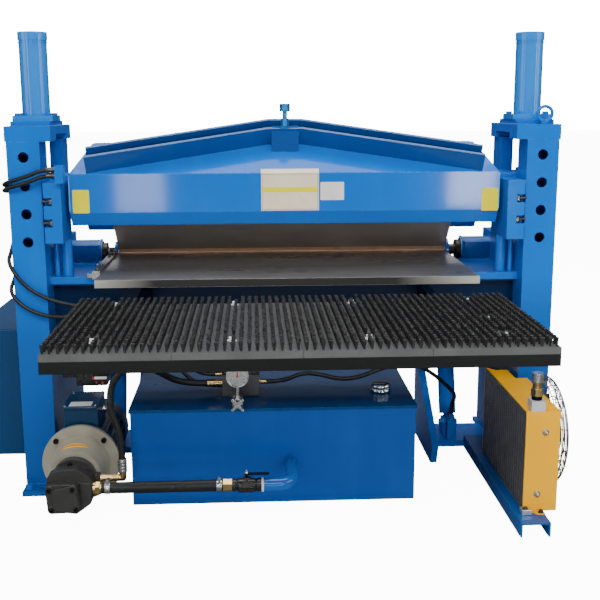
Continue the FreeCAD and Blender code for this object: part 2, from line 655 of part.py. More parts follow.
def rib(start):
    """One rib of the bow, drawn on the inclined top plate: along X and up the slope."""
    crown = start + c.rib_climb
    outline = [
        (-c.rib_end, start), (-c.rib_crown, crown), (c.rib_crown, crown), (c.rib_end, start),
        (c.rib_end, start + c.rib_thick), (c.rib_crown, crown + c.rib_thick),
        (-c.rib_crown, crown + c.rib_thick), (-c.rib_end, start + c.rib_thick),
    ]
    flat = prism("z", outline, -c.rib_sink, c.rib_height)
    angle = math.degrees(math.atan2(c.slope_rise.value, c.slope_run.value))
    slope = Size(angle, f"atan2({c.slope_rise.text}; {c.slope_run.text}) / 1 deg")
    return turned(flat, (1, 0, 0), slope, 0, FACE_Y, FACE_TOP)


def crown_centre():
    return (0, FRONT + c.crown_screw_depth)


def bow_truss():
    block_front = FRONT + c.crown_front
    block_top = TOP_Z + c.crown_height
    block = box(
        (-c.crown_width / 2, c.crown_width / 2), (block_front, block_front + c.crown_depth),
        (FACE_TOP, block_top),
    )
    hole = bar("z", c.crown_screw_radius + c.crown_hole_gap, FACE_TOP, block_top, crown_centre())
    beam = prism("x", beam_outline(), -BEAM_HALF, BEAM_HALF)
    return cut(fuse(rib(c.rib_start), rib(c.rib_start + c.rib_pitch), block), beam, hole)


def beam_screws():
    """The crown screw with its nut, and the adjusting screws of the guide shoes."""
    centre = crown_centre()
    nut_low = TOP_Z + c.crown_height
    nut_top = nut_low + c.crown_nut_height
    screw_top = TOP_Z + c.crown_screw_length
    crown = fuse(
        bar("z", c.crown_screw_radius, TOP_Z, screw_top, centre),
        hexagon("z", c.crown_head_radius, screw_top, screw_top + c.crown_head_height, centre),
    )
    nut = cut(
        hexagon("z", c.crown_nut_radius, nut_low, nut_top, centre),
        bar("z", c.crown_screw_radius + c.fit_gap, nut_low, nut_top, centre),
    )
    right = []
    for pocket in shoe_pockets():
        line = (FRONT - c.shoe_front + c.pocket_depth / 2, pocket + c.pocket_height / 2)
        start = INNER - c.shoe_inset - c.pocket_width
        head_end = start + c.shoe_screw_head_length
        right.append(fuse(
            hexagon("x", c.shoe_screw_head, start, head_end, line),
            bar("x", c.shoe_screw_radius, head_end, INNER - c.seat_gap, line),
        ))
    return group(crown, nut, *right, *[mirror(piece) for piece in right])


def upper_blade():
    tip_y = c.bend_depth - c.edge_gap
    root = c.bend_depth - c.blade_root
    drop = c.blade_thick * math.sqrt(2)
    shoulder = tip_y - c.tip_run
    outline = [
        (tip_y, AXIS_Z), (shoulder, AXIS_Z + c.tip_rise),
        (shoulder, seat_height(shoulder)), (root + drop / 2, seat_height(root + drop / 2)),
        (root, seat_height(root) - drop),
    ]
    return prism("x", outline, -BED_HALF, BED_HALF)


def shoe_pockets():
    return [c.pocket_first, c.pocket_first + c.pocket_pitch]


def guide_shoe():
    outer = INNER - c.shoe_inset
    inner = outer - c.shoe_width
    front = FRONT - c.shoe_front
    top = SHOE_LOW + c.shoe_height
    block = box((inner, outer), (front, WINDOW_FRONT + c.slide_gap), (SHOE_LOW, top))
    block_start = inner - c.block_overhang
    hose_block = box(
        (block_start, block_start + c.block_width),
        (front - c.block_setout, front - c.block_setout + c.block_length),
        (top, top + c.block_height),
    )
    pockets = [
        box((outer - c.pocket_width, outer), (front, front + c.pocket_depth),
            (low, low + c.pocket_height))
        for low in shoe_pockets()
    ]
    return cut(block, *pockets), hose_block


def guide_shoes():
    """The right shoe, and the left shoe with the block that the two thin hoses screw into."""
    right, hose_block = guide_shoe()
    left, _ = guide_shoe()
    return group(right, mirror(fuse(left, hose_block)))


def pivot_housing():
    """Bearing block of the folding beam: a chamfered block with a cover on its inner end."""
    centre = (c.bend_depth, AXIS_Z)
    start = INNER - c.housing_length
    forms = []
    for rim, end in ((0, INNER), (c.housing_rim, start + c.housing_cover)):
        top = AXIS_Z + c.housing_top + rim
        low = AXIS_Z - c.housing_half
        front = c.bend_depth - c.housing_half - rim
        back = c.bend_depth + c.housing_half + rim
        corner = c.housing_corner
        outline = [
            (front, low), (back, low), (back, top - corner), (back - corner, top),
            (front + corner, top), (front, top - corner),
        ]
        forms.append(prism("x", outline, start, end))
    return cut(fuse(*forms), bar("x", c.pin_radius + c.fit_gap, start, INNER, centre))


def pivot_pin():
    centre = (c.bend_depth, AXIS_Z)
    collar_end = INNER - c.housing_length - c.thrust_gap
    return fuse(
        bar("x", c.pin_radius, ARM_OUTER, INNER - c.pin_tail, centre),
        bar("x", c.thrust_radius, collar_end - c.thrust_thick, collar_end, centre),
    )


def fold_arm():
    """An end plate of the folding beam: pivot boss, beam end and crank lug in one plate."""
    boss = (c.bend_depth, AXIS_Z)
    box_top = AXIS_Z - c.edge_gap - c.jaw_thick
    box_low = box_top - c.box_height
    box_front = c.bend_depth + c.box_front
    box_back = box_front + c.box_depth
    crank = (CRANK_Y, CRANK_Z)
    boss_low = AXIS_Z - c.boss_radius / 2
    web = [
        (boss[0], boss[1]), (box_back, box_top), (box_back, box_low), (crank[0], crank[1]),
        (box_front, box_low), (box_front, boss_low),
    ]
    return fuse(
        bar("x", c.boss_radius, ARM_INNER, ARM_OUTER, boss),
        prism("x", web, ARM_INNER, ARM_OUTER),
        bar("x", c.crank_radius, ARM_INNER, ARM_OUTER, crank),
    )


def fold_beam():
    box_top = AXIS_Z - c.edge_gap - c.jaw_thick
    box_low = box_top - c.box_height
    front = c.bend_depth + c.box_front
    back = front + c.box_depth
    wall = c.box_wall
    girder = cut(
        box((-ARM_INNER, ARM_INNER), (front, back), (box_low, box_top)),
        box((-ARM_INNER + wall, ARM_INNER - wall), (front + wall, back - wall),
            (box_low + wall, box_top - wall)),
    )
    arm = fold_arm()
    washer = bar("x", c.crank_washer_radius, ARM_INNER - c.crank_washer, ARM_INNER, (CRANK_Y, CRANK_Z))
    return fuse(girder, arm, mirror(arm), washer, mirror(washer))


def fold_blade():
    front = c.bend_depth + c.fold_blade_gap
    box_top = AXIS_Z - c.edge_gap - c.jaw_thick
    return box((-BED_HALF, BED_HALF), (front, front + c.jaw_width), (box_top, AXIS_Z - c.edge_gap))


def ram_lean():
    """Angle by which the folding cylinders lean back from upright, and their rest length."""
    back = CRANK_Y - c.ram_foot_depth
    rise = CRANK_Z - c.ram_foot_height
    angle = math.degrees(math.atan2(back.value, rise.value))
    reach = math.hypot(back.value, rise.value)
    return (
        Size(-angle, f"(-atan2({back.text}; {rise.text}) / 1 deg)"),
        Size(reach, f"sqrt({back.text} ^ 2 + {rise.text} ^ 2)"),
    )


def leaned(piece):
    return turned(piece, (1, 0, 0), ram_lean()[0], 0, c.ram_foot_depth, c.ram_foot_height)


def fold_barrel():
    end = ram_lean()[1] - c.ram_reserve
    centre = (c.ram_x, 0)
    half = c.ram_eye_width / 2
    chamber_low = c.ram_start + c.ram_floor
    body = fuse(
        bar("z", c.ram_radius, c.ram_start, end, centre),
        bar("x", c.ram_eye_radius, c.ram_x - half, c.ram_x + half, (0, 0)),
        box((c.ram_x - half, c.ram_x + half), (-c.ram_eye_radius / 2, c.ram_eye_radius / 2),
            (0, chamber_low)),
    )
    upright = cut(
        body,
        bar("z", c.ram_bore, chamber_low, end - c.gland_length, centre),
        bar("z", c.ram_rod_radius + c.fit_gap, end - c.gland_length, end, centre),
        bar("x", c.ram_pin_radius + c.fit_gap, c.ram_x - half, c.ram_x + half, (0, 0)),
    )
    return leaned(upright)


def fold_rod():
    reach = ram_lean()[1]
    centre = (c.ram_x, 0)
    half = c.ram_eye_width / 2
    low = c.ram_start + c.ram_floor + c.ram_piston_rest
    pin_start = ARM_OUTER + c.seat_gap
    pin_end = c.ram_x + half + c.ram_pin_tail
    return leaned(fuse(
        bar("z", c.ram_bore - c.fit_gap, low, low + c.ram_piston, centre),
        bar("z", c.ram_rod_radius, low, reach - c.ram_eye_radius / 2, centre),
        bar("x", c.ram_eye_radius, c.ram_x - half, c.ram_x + half, (0, reach)),
        bar("x", c.ram_pin_radius, pin_start, pin_end, (0, reach)),
        bar("x", c.ram_pin_head_radius, pin_end, pin_end + c.ram_pin_head, (0, reach)),
    ))


def cylinder_foot():
    """Floor plate with a clevis for the folding cylinder, a gusset and the hose union."""
    plate = box(
        (c.foot_plate_inner, INNER), (c.foot_plate_front, c.foot_plate_back), (0, c.foot_plate_thick)
    )
    centre = (c.ram_foot_depth, c.ram_foot_height)
    half = c.ram_eye_width / 2 + c.cheek_slack
    width = c.cheek_width
    cheeks = []
    for start in (c.ram_x - half - width, c.ram_x + half):
        upright = box(
            (start, start + width), (centre[0] - c.cheek_back, centre[0] + c.cheek_back),
            (c.foot_plate_thick, centre[1]),
        )
        cheeks += [upright, bar("x", c.ram_eye_radius, start, start + width, centre)]
    pin = bar("x", c.ram_pin_radius, c.ram_x - half - width - width, c.ram_x + half + width * 2, centre)
    gusset = [
        (-c.gusset_front, 0), (c.foot_plate_back, 0), (c.foot_plate_back, c.gusset_top),
        (-c.gusset_front - c.gusset_nose, c.gusset_nose_height),
    ]
    side = prism("x", gusset, c.foot_plate_inner - c.gusset_thick, c.foot_plate_inner)
    union_low = c.ram_x - c.union_side / 2
    union = box(
        (union_low, union_low + c.union_side),
        (c.union_front, c.union_front + c.union_side), (c.foot_plate_thick, c.union_height),
    )
    stub_centre = (c.ram_x, c.union_front + c.union_side / 2)
    stub = bar("z", c.ram_port_radius, c.union_height, c.union_height + c.ram_port_height, stub_centre)
    return fuse(plate, side, union, stub, pin, *cheeks)


def table_screw_spots():
    back = TABLE_BACK - c.screw_back
    front = TABLE_FRONT + c.screw_front
    columns = [c.screw_pitch * step for step in (-1.5, -0.5, 0.5, 1.5)]
    spots = [(column, row) for row in (back, front) for column in columns]
    return spots + [(columns[-1], TABLE_BACK - c.screw_mid)]


def table_frame():
    half = c.table_width / 2
    width = c.rail_width
    rails = [
        box((-half, half), (TABLE_FRONT, TABLE_FRONT + width), (RAIL_LOW, RAIL_TOP)),
        box((-half, half), (TABLE_BACK - width, TABLE_BACK), (RAIL_LOW, RAIL_TOP)),
    ]
    for start in (-half, -c.table_arm_x - width / 2, c.table_arm_x - width / 2, half - width):
        rails.append(box((start, start + width), (TABLE_FRONT, TABLE_BACK), (RAIL_LOW, RAIL_TOP)))
    tip = TABLE_FRONT + c.table_arm_nose
    outline = [
        (FRONT + c.trough_front, RAIL_LOW), (tip, RAIL_LOW), (tip, RAIL_LOW - c.table_arm_tip),
        (tip + c.table_arm_taper, RAIL_LOW - c.table_arm_height),
        (FRONT + c.trough_front, RAIL_LOW - c.table_arm_height),
    ]
    start = c.table_arm_x - c.table_arm_width / 2
    arm = prism("x", outline, start, start + c.table_arm_width)
    return fuse(*rails, arm, mirror(arm))


def brush_boards():
    width = (c.table_width + c.board_joint) / c.board_count
    start = -c.table_width / 2
    boards = []
    for index in range(int(c.board_count.value)):
        low = start + width * index
        sides = (low, low + width - c.board_joint)
        boards.append(box(sides, (TABLE_FRONT, TABLE_BACK), (RAIL_TOP, TABLE_Z)))
    return group(*boards)


def brush_bristles():
    """The bristle tufts, drawn as one ridge to a row."""
    half = c.table_width / 2 - c.board_joint
    pitch = (half * 2 - c.row_width) / (c.row_count - 1)
    span = (TABLE_FRONT + c.row_inset, TABLE_BACK - c.board_joint)
    ridges = [box((-half, half), span, (TABLE_Z, TABLE_Z + c.row_base))]
    for index in range(int(c.row_count.value)):
        low = pitch * index - half
        ridges.append(box((low, low + c.row_width), span, (TABLE_Z, c.bed_height)))
    holes = [bar("z", c.screw_room, TABLE_Z, c.bed_height, spot) for spot in table_screw_spots()]
    return cut(fuse(*ridges), *holes)


def table_screws():
    washer_top = TABLE_Z + c.screw_washer
    return group(*[
        fuse(
            bar("z", c.screw_washer_radius, TABLE_Z, washer_top, spot),
            bar("z", c.screw_radius, washer_top, washer_top + c.screw_height, spot),
        )
        for spot in table_screw_spots()
    ])


def oil_tank():
    left = -c.tank_left
    right = left + c.tank_width
    front = -c.tank_front
    back = front + c.tank_depth
    wall = c.tank_wall
    shell = cut(
        box((left, right), (front, back), (c.tank_foot, TANK_TOP)),
        box((left + wall, right - wall), (front + wall, back - wall), (c.tank_foot + wall, TANK_TOP)),
    )
    feet = [
        box((start, start + c.tank_foot_width), (front + c.tank_foot_inset, back - c.tank_foot_inset),
            (0, c.tank_foot))
        for start in (left + c.tank_foot_inset, right - c.tank_foot_inset - c.tank_foot_width)
    ]
    inlet = suction_end()
    hole = bar("y", c.pipe_radius, front, front + wall, (inlet[0], inlet[2]))
    return cut(fuse(shell, *feet), hole)


def tank_lid():
    left = -c.tank_left
    right = left + c.tank_width
    front = -c.tank_front
    rim = c.lid_rim
    plate = box((left - rim, right + rim), (front - rim, front + c.tank_depth + rim),
                (TANK_TOP, LID_TOP))
    centre = (c.filler_x, -c.filler_depth)
    neck = bar("z", c.filler_radius, LID_TOP, LID_TOP + c.filler_height, centre)
    hole = bar("z", c.filler_radius - c.filler_wall, TANK_TOP, LID_TOP + c.filler_height, centre)
    return cut(fuse(plate, neck), hole)


def filler_cap():
    centre = (c.filler_x, -c.filler_depth)
    low = LID_TOP + c.seat_gap
    top = low + c.filler_cap_height
    neck_top = LID_TOP + c.filler_height + c.seat_gap
    hollow = bar("z", c.filler_radius + c.slide_gap, low, neck_top, centre)
    return cut(bar("z", c.filler_cap_radius, low, top, centre), hollow)


def motor_axis():
    return (c.motor_x, c.motor_height)


def motor_housing():
    """Finned body with flange, end shields, foot and terminal box."""
    centre = motor_axis()
    front = MOTOR_FACE
    back = front + c.motor_flange + c.motor_length
    body = [
        bar("y", c.motor_flange_radius, front, front + c.motor_flange, centre),
        bar("y", c.motor_radius, front, back, centre),
    ]
    fin_low = front + c.motor_flange
    for index in range(int(c.fin_count.value)):
        fin = box(
            (-c.fin_thick / 2, c.fin_thick / 2), (0, back - fin_low),
            (c.motor_radius - c.fin_height, c.motor_radius + c.fin_height),
        )
        angle = size(360 / c.fin_count.value) * index
        body.append(turned(fin, (0, 1, 0), angle, centre[0], fin_low, centre[1]))
    half = c.motor_pad_width / 2
    pad_front = fin_low + c.motor_pad_inset
    base = box(
        (centre[0] - half, centre[0] + half), (pad_front, pad_front + c.motor_pad_length),
        (0, centre[1] - c.motor_pad_slope),
    )
    box_front = fin_low + c.terminal_inset
    terminal = box(
        (centre[0] - c.terminal_width / 2, centre[0] + c.terminal_width / 2),
        (box_front, box_front + c.terminal_length),
        (centre[1] + c.motor_radius - c.fin_height, centre[1] + c.motor_radius + c.terminal_rise),
    )
    chamber = bar("y", c.motor_bore, front + c.motor_plate, back - c.motor_plate, centre)
    shaft = bar("y", c.shaft_radius + c.fit_gap, front, back, centre)
    return cut(fuse(*body, base, terminal), chamber, shaft)


def fan_cowl():
    centre = motor_axis()
    start = MOTOR_FACE + c.motor_flange + c.motor_length
    end = start + c.cowl_length
    wall = c.cowl_wall
    rim = tube("y", c.cowl_radius, c.motor_radius - c.fin_height, start, start + wall, centre)
    skin = tube("y", c.cowl_radius, c.cowl_radius - wall, start, end, centre)
    grille = tube("y", c.cowl_radius, c.intake_radius, end - wall, end, centre)
    bars = [
        box((centre[0] - c.intake_radius, centre[0] + c.intake_radius), (end - wall, end),
            (centre[1] + offset - wall, centre[1] + offset + wall))
        for offset in (-c.intake_radius / 2, size(0), c.intake_radius / 2)
    ]
    return fuse(rim, skin, grille, *bars)


def motor_rotor():
    """Motor shaft with its rotor pack and, inside the cowl, the cooling fan."""
    centre = motor_axis()
    back = MOTOR_FACE + c.motor_flange + c.motor_length
    middle = MOTOR_FACE + c.motor_flange + c.motor_length / 2
    fan_start = back + c.fan_back
    pieces = [
        bar("y", c.shaft_radius, MOTOR_FACE - c.shaft_nose, fan_start + c.fan_width, centre),
        bar("y", c.rotor_radius, middle - c.rotor_length / 2, middle + c.rotor_length / 2, centre),
        bar("y", c.fan_hub_radius, fan_start, fan_start + c.fan_width, centre),
    ]
    for index in range(int(c.blade_count.value)):
        blade = box((-c.fan_blade / 2, c.fan_blade / 2), (0, c.fan_width), (0, c.fan_radius))
        angle = size(360 / c.blade_count.value) * index
        pieces.append(turned(blade, (0, 1, 0), angle, centre[0], fan_start, centre[1]))
    return fuse(*pieces)


def bell_housing():
    centre = motor_axis()
    mouth = MOTOR_FACE
    neck = mouth - c.bell_flange
    nose = PUMP_FACE
    wall = c.bell_wall
    outside = fuse(
        bar("y", c.motor_flange_radius, neck, mouth, centre),
        taper("y", c.bell_nose_radius, c.bell_radius, nose, neck, centre),
    )
    inside = bar("y", c.bell_nose_radius - wall, nose + c.bell_nose, mouth, centre)
    hole = bar("y", c.pump_shaft_radius + c.slide_gap, nose, nose + c.bell_nose, centre)
    return cut(outside, inside, hole)


def pump_drive():
    """Coupling halves with the spider between them, then the pump's shaft and rotor."""
    centre = motor_axis()
    nose = MOTOR_FACE - c.shaft_nose
    first = bar("y", c.hub_radius, nose, nose + c.hub_length, centre)
    motor_hub = cut(first, bar("y", c.shaft_radius, nose, nose + c.hub_length, centre))
    spider = bar("y", c.hub_radius, nose - c.spider_length, nose, centre)
    hub_end = nose - c.spider_length
    pump_hub = bar("y", c.hub_radius, hub_end - c.hub_length / 2, hub_end, centre)
    chamber_back = PUMP_FACE - c.pump_plate
    rotor_back = chamber_back - c.pump_rotor_gap
    rotor_front = chamber_back - c.pump_chamber + c.pump_rotor_gap
    shaft = fuse(
        pump_hub,
        bar("y", c.pump_shaft_radius, rotor_front, hub_end - c.hub_length / 2, centre),
        bar("y", c.pump_chamber_radius - c.pump_rotor_gap, rotor_front, rotor_back, centre),
    )
    return group(motor_hub, spider, shaft)


def pump_body():
    centre = motor_axis()
    plate_front = PUMP_FACE - c.pump_plate
    front = plate_front - c.pump_body_length
    cap_half = c.pump_cap_side / 2
    cap_x = centre[0] - c.pump_cap_shift
    cap_z = centre[1] - c.pump_cap_drop
    cap = box((cap_x - cap_half, cap_x + cap_half), (front - c.pump_cap, front),
              (cap_z - cap_half, cap_z + cap_half))
    reach = cap_half - c.pump_bolt_inset
    heads = [
        hexagon("y", c.bolt_head_radius, front - c.pump_cap - c.bolt_head_height, front - c.pump_cap,
                (cap_x + side * reach, cap_z + level * reach))
        for side in (-1, 1) for level in (-1, 1)
    ]
    port = bar("x", c.port_radius, centre[0], c.suction_start, (SUCTION_Y, c.suction_height))
    chamber = bar("y", c.pump_chamber_radius, plate_front - c.pump_chamber, plate_front, centre)
    bearing = bar("y", c.pump_shaft_radius + c.fit_gap, plate_front, PUMP_FACE, centre)
    boss = box(
        (centre[0] + c.pump_body_radius / 2, centre[0] + c.pump_boss_reach), (plate_front, PUMP_FACE),
        (c.outlet_height - c.pump_boss_half, c.outlet_height + c.pump_boss_half),
    )
    lug = (centre[0], centre[1] + c.pump_lug_rise)
    heads.append(bar("y", c.pump_lug_screw, plate_front - c.bolt_head_height, plate_front, lug))
    solid = fuse(
        bar("y", c.pump_flange_radius, plate_front, PUMP_FACE, centre),
        bar("y", c.pump_lug_radius, plate_front, PUMP_FACE, lug), boss,
        bar("y", c.pump_body_radius, front, plate_front, centre), cap, port, *heads,
    )
    return cut(solid, chamber, bearing)


def suction_line():
    return (SUCTION_Y, c.suction_height)


def suction_end():
    return (c.pipe_turn_x + c.pipe_bend, -c.tank_front, c.suction_height + c.pipe_rise)


def suction_hose():
    return tube("x", c.hose_radius, c.nipple_radius, c.hose_start, c.hose_end, suction_line())


def suction_valve():
    """Ball valve body: two hexagon ends, a round middle and the seat of the ball."""
    line = suction_line()
    start = c.valve_start
    end = start + c.valve_length
    middle = start + c.valve_length / 2
    body = fuse(
        bar("x", c.valve_radius, start, end, line),
        hexagon("x", c.valve_end_radius, start, start + c.valve_end, line),
        hexagon("x", c.valve_end_radius, end - c.valve_end, end, line),
        bar("z", c.stem_radius * 2, line[1], line[1] + c.valve_radius + c.valve_end / 4,
            (middle, line[0])),
    )
    return cut(
        body, ball(c.ball_radius + c.fit_gap, middle, line[0], line[1]),
        bar("x", c.ball_bore, start, end, line),
        bar("z", c.stem_radius + c.fit_gap, line[1], line[1] + c.stem_height, (middle, line[0])),
    )


def valve_lever():
    line = suction_line()
    middle = c.valve_start + c.valve_length / 2
    top = line[1] + c.stem_height
    stem = bar("z", c.stem_radius, line[1], top, (middle, line[0]))
    arm = box(
        (middle - c.lever_width / 2, middle + c.lever_length),
        (line[0] - c.lever_width / 2, line[0] + c.lever_width / 2), (top - c.lever_thick, top),
    )
    grip = bar("z", c.lever_width / 2, top - c.lever_thick, top, (middle + c.lever_length, line[0]))
    sphere = ball(c.ball_radius, middle, line[0], line[1])
    hole = bar("x", c.ball_bore, middle - c.ball_radius, middle + c.ball_radius, line)
    return cut(fuse(stem, arm, grip, sphere), hole)


def pipe_feature(name, points, radius, bore, bend):
    """A bent pipe through points in mm, with an arc of one radius at each corner."""
    spots = [FreeCAD.Vector(*point) for point in points]
    outer = rounded(spots, [bend] * (len(spots) - 2), radius)
    if bore:
        outer = outer.cut(rounded(spots, [bend] * (len(spots) - 2), bore))
    feature = doc.addObject("Part::Feature", name)
    feature.Shape = outer
    feature.Placement = FreeCAD.Placement()
    return feature


def rounded(spots, bends, radius):
    """Sweep a disc along straight runs joined by tangent arcs."""
    edges = []
    start = spots[0]
    for index, bend in enumerate(bends, 1):
        corner = spots[index]
        before = (spots[index - 1] - corner).normalize()
        after = (spots[index + 1] - corner).normalize()
        half_turn = (math.pi - before.getAngle(after)) / 2
        setback = bend * math.tan(half_turn)
        first = corner + before * setback
        last = corner + after * setback
        inward = (before + after).normalize()
        middle = corner + inward * (bend / math.cos(half_turn) - bend)
        if (first - start).Length > 1e-6:
            edges.append(Part.LineSegment(start, first).toShape())
        edges.append(Part.Arc(first, middle, last).toShape())
        start = last
    edges.append(Part.LineSegment(start, spots[-1]).toShape())
    wire = Part.Wire(edges)
    heading = (spots[1] - spots[0]).normalize()
    disc = Part.Face(Part.Wire(Part.makeCircle(radius, spots[0], heading)))
    return wire.makePipe(disc)


def suction_pipe():
    """The blue pipe from the ball valve round to the face of the tank."""
    end = suction_end()
    start_x = c.valve_start + c.valve_length + c.ring_length
    level = c.suction_height.value
    depth = SUCTION_Y.value
    points = [
        (start_x.value, depth, level),
        (end[0].value, depth, level),
        (end[0].value, (end[1] - c.pipe_run).value, end[2].value),
        (end[0].value, end[1].value, end[2].value),
    ]
    bore = (c.pipe_radius - c.pipe_wall).value
    return pipe_feature("Pipe", points, c.pipe_radius.value, bore, c.pipe_turn.value)


def fittings():
    """Nipples, nuts and elbows that join the hoses to the pump, the valves and the frames."""
    line = suction_line()
    bore = c.nipple_bore
    ivory_end = c.suction_start + c.ivory_length
    nut_end = ivory_end + c.nut_length - c.ivory_length
    pieces = [
        tube("x", c.nut_radius, bore, c.suction_start, ivory_end, line),
        cut(
            fuse(hexagon("x", c.nut_radius, ivory_end, nut_end, line),
                 bar("x", c.nipple_radius - c.fit_gap, nut_end, c.hose_start + c.nut_length * 2, line)),
            bar("x", bore, ivory_end, c.hose_start + c.nut_length * 2, line),
        ),
        cut(
            fuse(hexagon("x", c.nut_radius, c.hose_end + c.slide_gap, c.valve_start, line),
                 bar("x", c.nipple_radius - c.fit_gap, c.hose_end - c.nut_length * 2,
                     c.hose_end + c.slide_gap, line)),
            bar("x", bore, c.hose_end - c.nut_length * 2, c.valve_start, line),
        ),
        tube("x", c.nut_radius, c.ball_bore, c.valve_start + c.valve_length,
             c.valve_start + c.valve_length + c.ring_length, line),
    ]
    plate_side = c.motor_x + c.pump_boss_reach
    level = c.outlet_height
    depth = -c.outlet_depth
    ferrule_low = level + c.outlet_radius * 1.5
    pieces.append(fuse(
        bar("x", c.outlet_radius, plate_side, c.outlet_x, (depth, level)),
        ball(c.outlet_radius, c.outlet_x, depth, level),
        bar("z", c.outlet_radius, level, ferrule_low, (c.outlet_x, depth)),
        bar("z", c.ferrule_radius, ferrule_low, ferrule_low + c.ferrule_length, (c.outlet_x, depth)),
    ))
    pressure, first, second, side = block_ports()
    stub = c.side_fitting / 2 + c.seat_gap * 4
    pieces += [
        bar("x", c.inlet_radius, c.block_left - c.inlet_length, c.block_left, pressure),
        bar("x", stub, c.block_left - c.port_stub, c.block_left, first),
        bar("x", stub, c.block_left - c.port_stub, c.block_left, second),
        bar("x", stub, c.block_right, c.block_right + c.port_stub, side),
    ]
    return pieces


def block_ports():
    """Depth and height of the valve block's ports: pressure, first and second line, side."""
    front = -c.block_near
    low = LID_TOP
    return [
        (front + c.pressure_port_depth, low + c.pressure_port_height),
        (front + c.first_port_depth, low + c.first_port_height),
        (front + c.second_port_depth, low + c.second_port_height),
        (front + c.side_port_depth, low + c.side_port_height),
    ]


def frame_ports():
    """Elbows on the outer face of the left frame: two that point forward, two that point down."""
    out = -OUTER - c.side_fitting_out
    radius = c.side_fitting / 2 + c.seat_gap * 4
    pieces = []
    depths = (c.upper_port_depth, c.upper_port_depth + c.upper_port_shift)
    levels = (c.upper_port_height, c.upper_port_height + c.upper_port_rise)
    for depth, level in zip(depths, levels):
        line = (FRONT + depth, level)
        pieces.append(fuse(
            bar("x", radius, out, -OUTER, line), ball(radius, out, line[0], level),
            bar("y", radius, line[0] - c.side_fitting_length, line[0], (out, level)),
        ))
    depths = (c.lower_port_depth, c.lower_port_depth + c.lower_port_shift)
    levels = (c.lower_port_height, c.lower_port_height - c.lower_port_drop)
    for depth, level in zip(depths, levels):
        line = (FRONT + depth, level)
        pieces.append(fuse(
            bar("x", radius, out, -OUTER, line), ball(radius, out, line[0], level),
            bar("z", radius, level - c.side_fitting_length, level, (out, line[0])),
        ))
    return pieces


def valve_block():
    """Manifold with its three solenoid valves."""
    low_y = -c.block_near
    high_y = low_y + c.block_deep
    body = box((c.block_left, c.block_right), (low_y, high_y), (LID_TOP, BLOCK_TOP))
    pieces = [body]
    middle = low_y + c.block_deep / 2
    for step in (-1, 0, 1):
        x = (c.block_left + c.block_right) / 2 + c.coil_pitch * step
        base_top = BLOCK_TOP + c.coil_base * 2
        back = middle + c.coil_base
        pieces.append(box((x - c.coil_base, x + c.coil_base), (middle - c.coil_base, back),
                          (BLOCK_TOP, base_top)))
        pieces.append(bar("y", c.coil_radius, back, back + c.coil_length,
                          (x, BLOCK_TOP + c.coil_base)))
    return fuse(*pieces)


def gauge_stack():
    """Needle valve body with the pressure gauge on its stem."""
    x = c.gauge_x
    front = -c.gauge_front
    half = c.gauge_body / 2
    depth = front + c.gauge_body_depth
    body_top = LID_TOP + c.gauge_body_height
    middle = front + c.gauge_body_depth / 2
    dial_front = middle - c.gauge_case / 2
    centre = (x, c.gauge_centre)
    case = bar("y", c.gauge_radius, dial_front, dial_front + c.gauge_case, centre)
    recess = bar("y", c.gauge_radius - c.gauge_wall, dial_front, dial_front + c.dial_depth, centre)
    spindle_hole = bar("y", c.spindle_radius + c.fit_gap, front, front + c.spindle_length,
                       (x, LID_TOP + half))
    hub_hole = bar("y", c.pointer_hub / 2 + c.fit_gap, dial_front + c.dial_depth,
                   dial_front + c.dial_depth * 2, centre)
    solid = fuse(
        box((x - half, x + half), (front, depth), (LID_TOP, body_top)),
        bar("z", c.gauge_stem_radius, body_top, c.gauge_centre, (x, middle)), case,
    )
    return cut(solid, recess, spindle_hole, hub_hole)


def gauge_pointer():
    x = c.gauge_x
    middle = -c.gauge_front + c.gauge_body_depth / 2
    face = middle - c.gauge_case / 2 + c.dial_depth
    centre = (x, c.gauge_centre)
    start = face - c.pointer_thick - c.slide_gap
    return fuse(
        box((x - c.pointer_width / 2, x + c.pointer_width / 2), (start, start + c.pointer_thick),
            (c.gauge_centre - c.pointer_hub, c.gauge_centre + c.pointer_length)),
        bar("y", c.pointer_hub, start, start + c.pointer_thick, centre),
        bar("y", c.pointer_hub / 2, start, face + c.dial_depth / 2, centre),
    )


def gauge_handle():
    x = c.gauge_x
    front = -c.gauge_front - c.handle_depth
    centre = (x, LID_TOP + c.gauge_body / 2)
    arm = box((-c.handle_radius, c.handle_radius), (0, c.handle_thick),
              (-c.handle_thick / 2, c.handle_thick / 2))
    arms = [turned(arm, (0, 1, 0), size(angle), x, front, centre[1]) for angle in (45, 135)]
    hub = bar("y", c.handle_hub, front, front + c.handle_thick * 1.5, centre)
    spindle = bar("y", c.spindle_radius, front, -c.gauge_front + c.spindle_length / 2, centre)
    return fuse(*arms, hub, spindle)


def cooler_skid():
    """The channel on the floor that carries the oil cooler."""
    half = c.skid_width / 2
    front = COOLER_FRONT - c.skid_reach
    back = c.foot_plate_front
    outer = box((c.skid_x - half, c.skid_x + half), (front, back), (0, c.skid_height))
    inner = box(
        (c.skid_x - half + c.skid_wall, c.skid_x + half - c.skid_wall), (front, back),
        (0, c.skid_height - c.skid_wall),
    )
    return cut(outer, inner)


def cooler_sides():
    half = c.cooler_width / 2
    return c.cooler_x - half, c.cooler_x + half


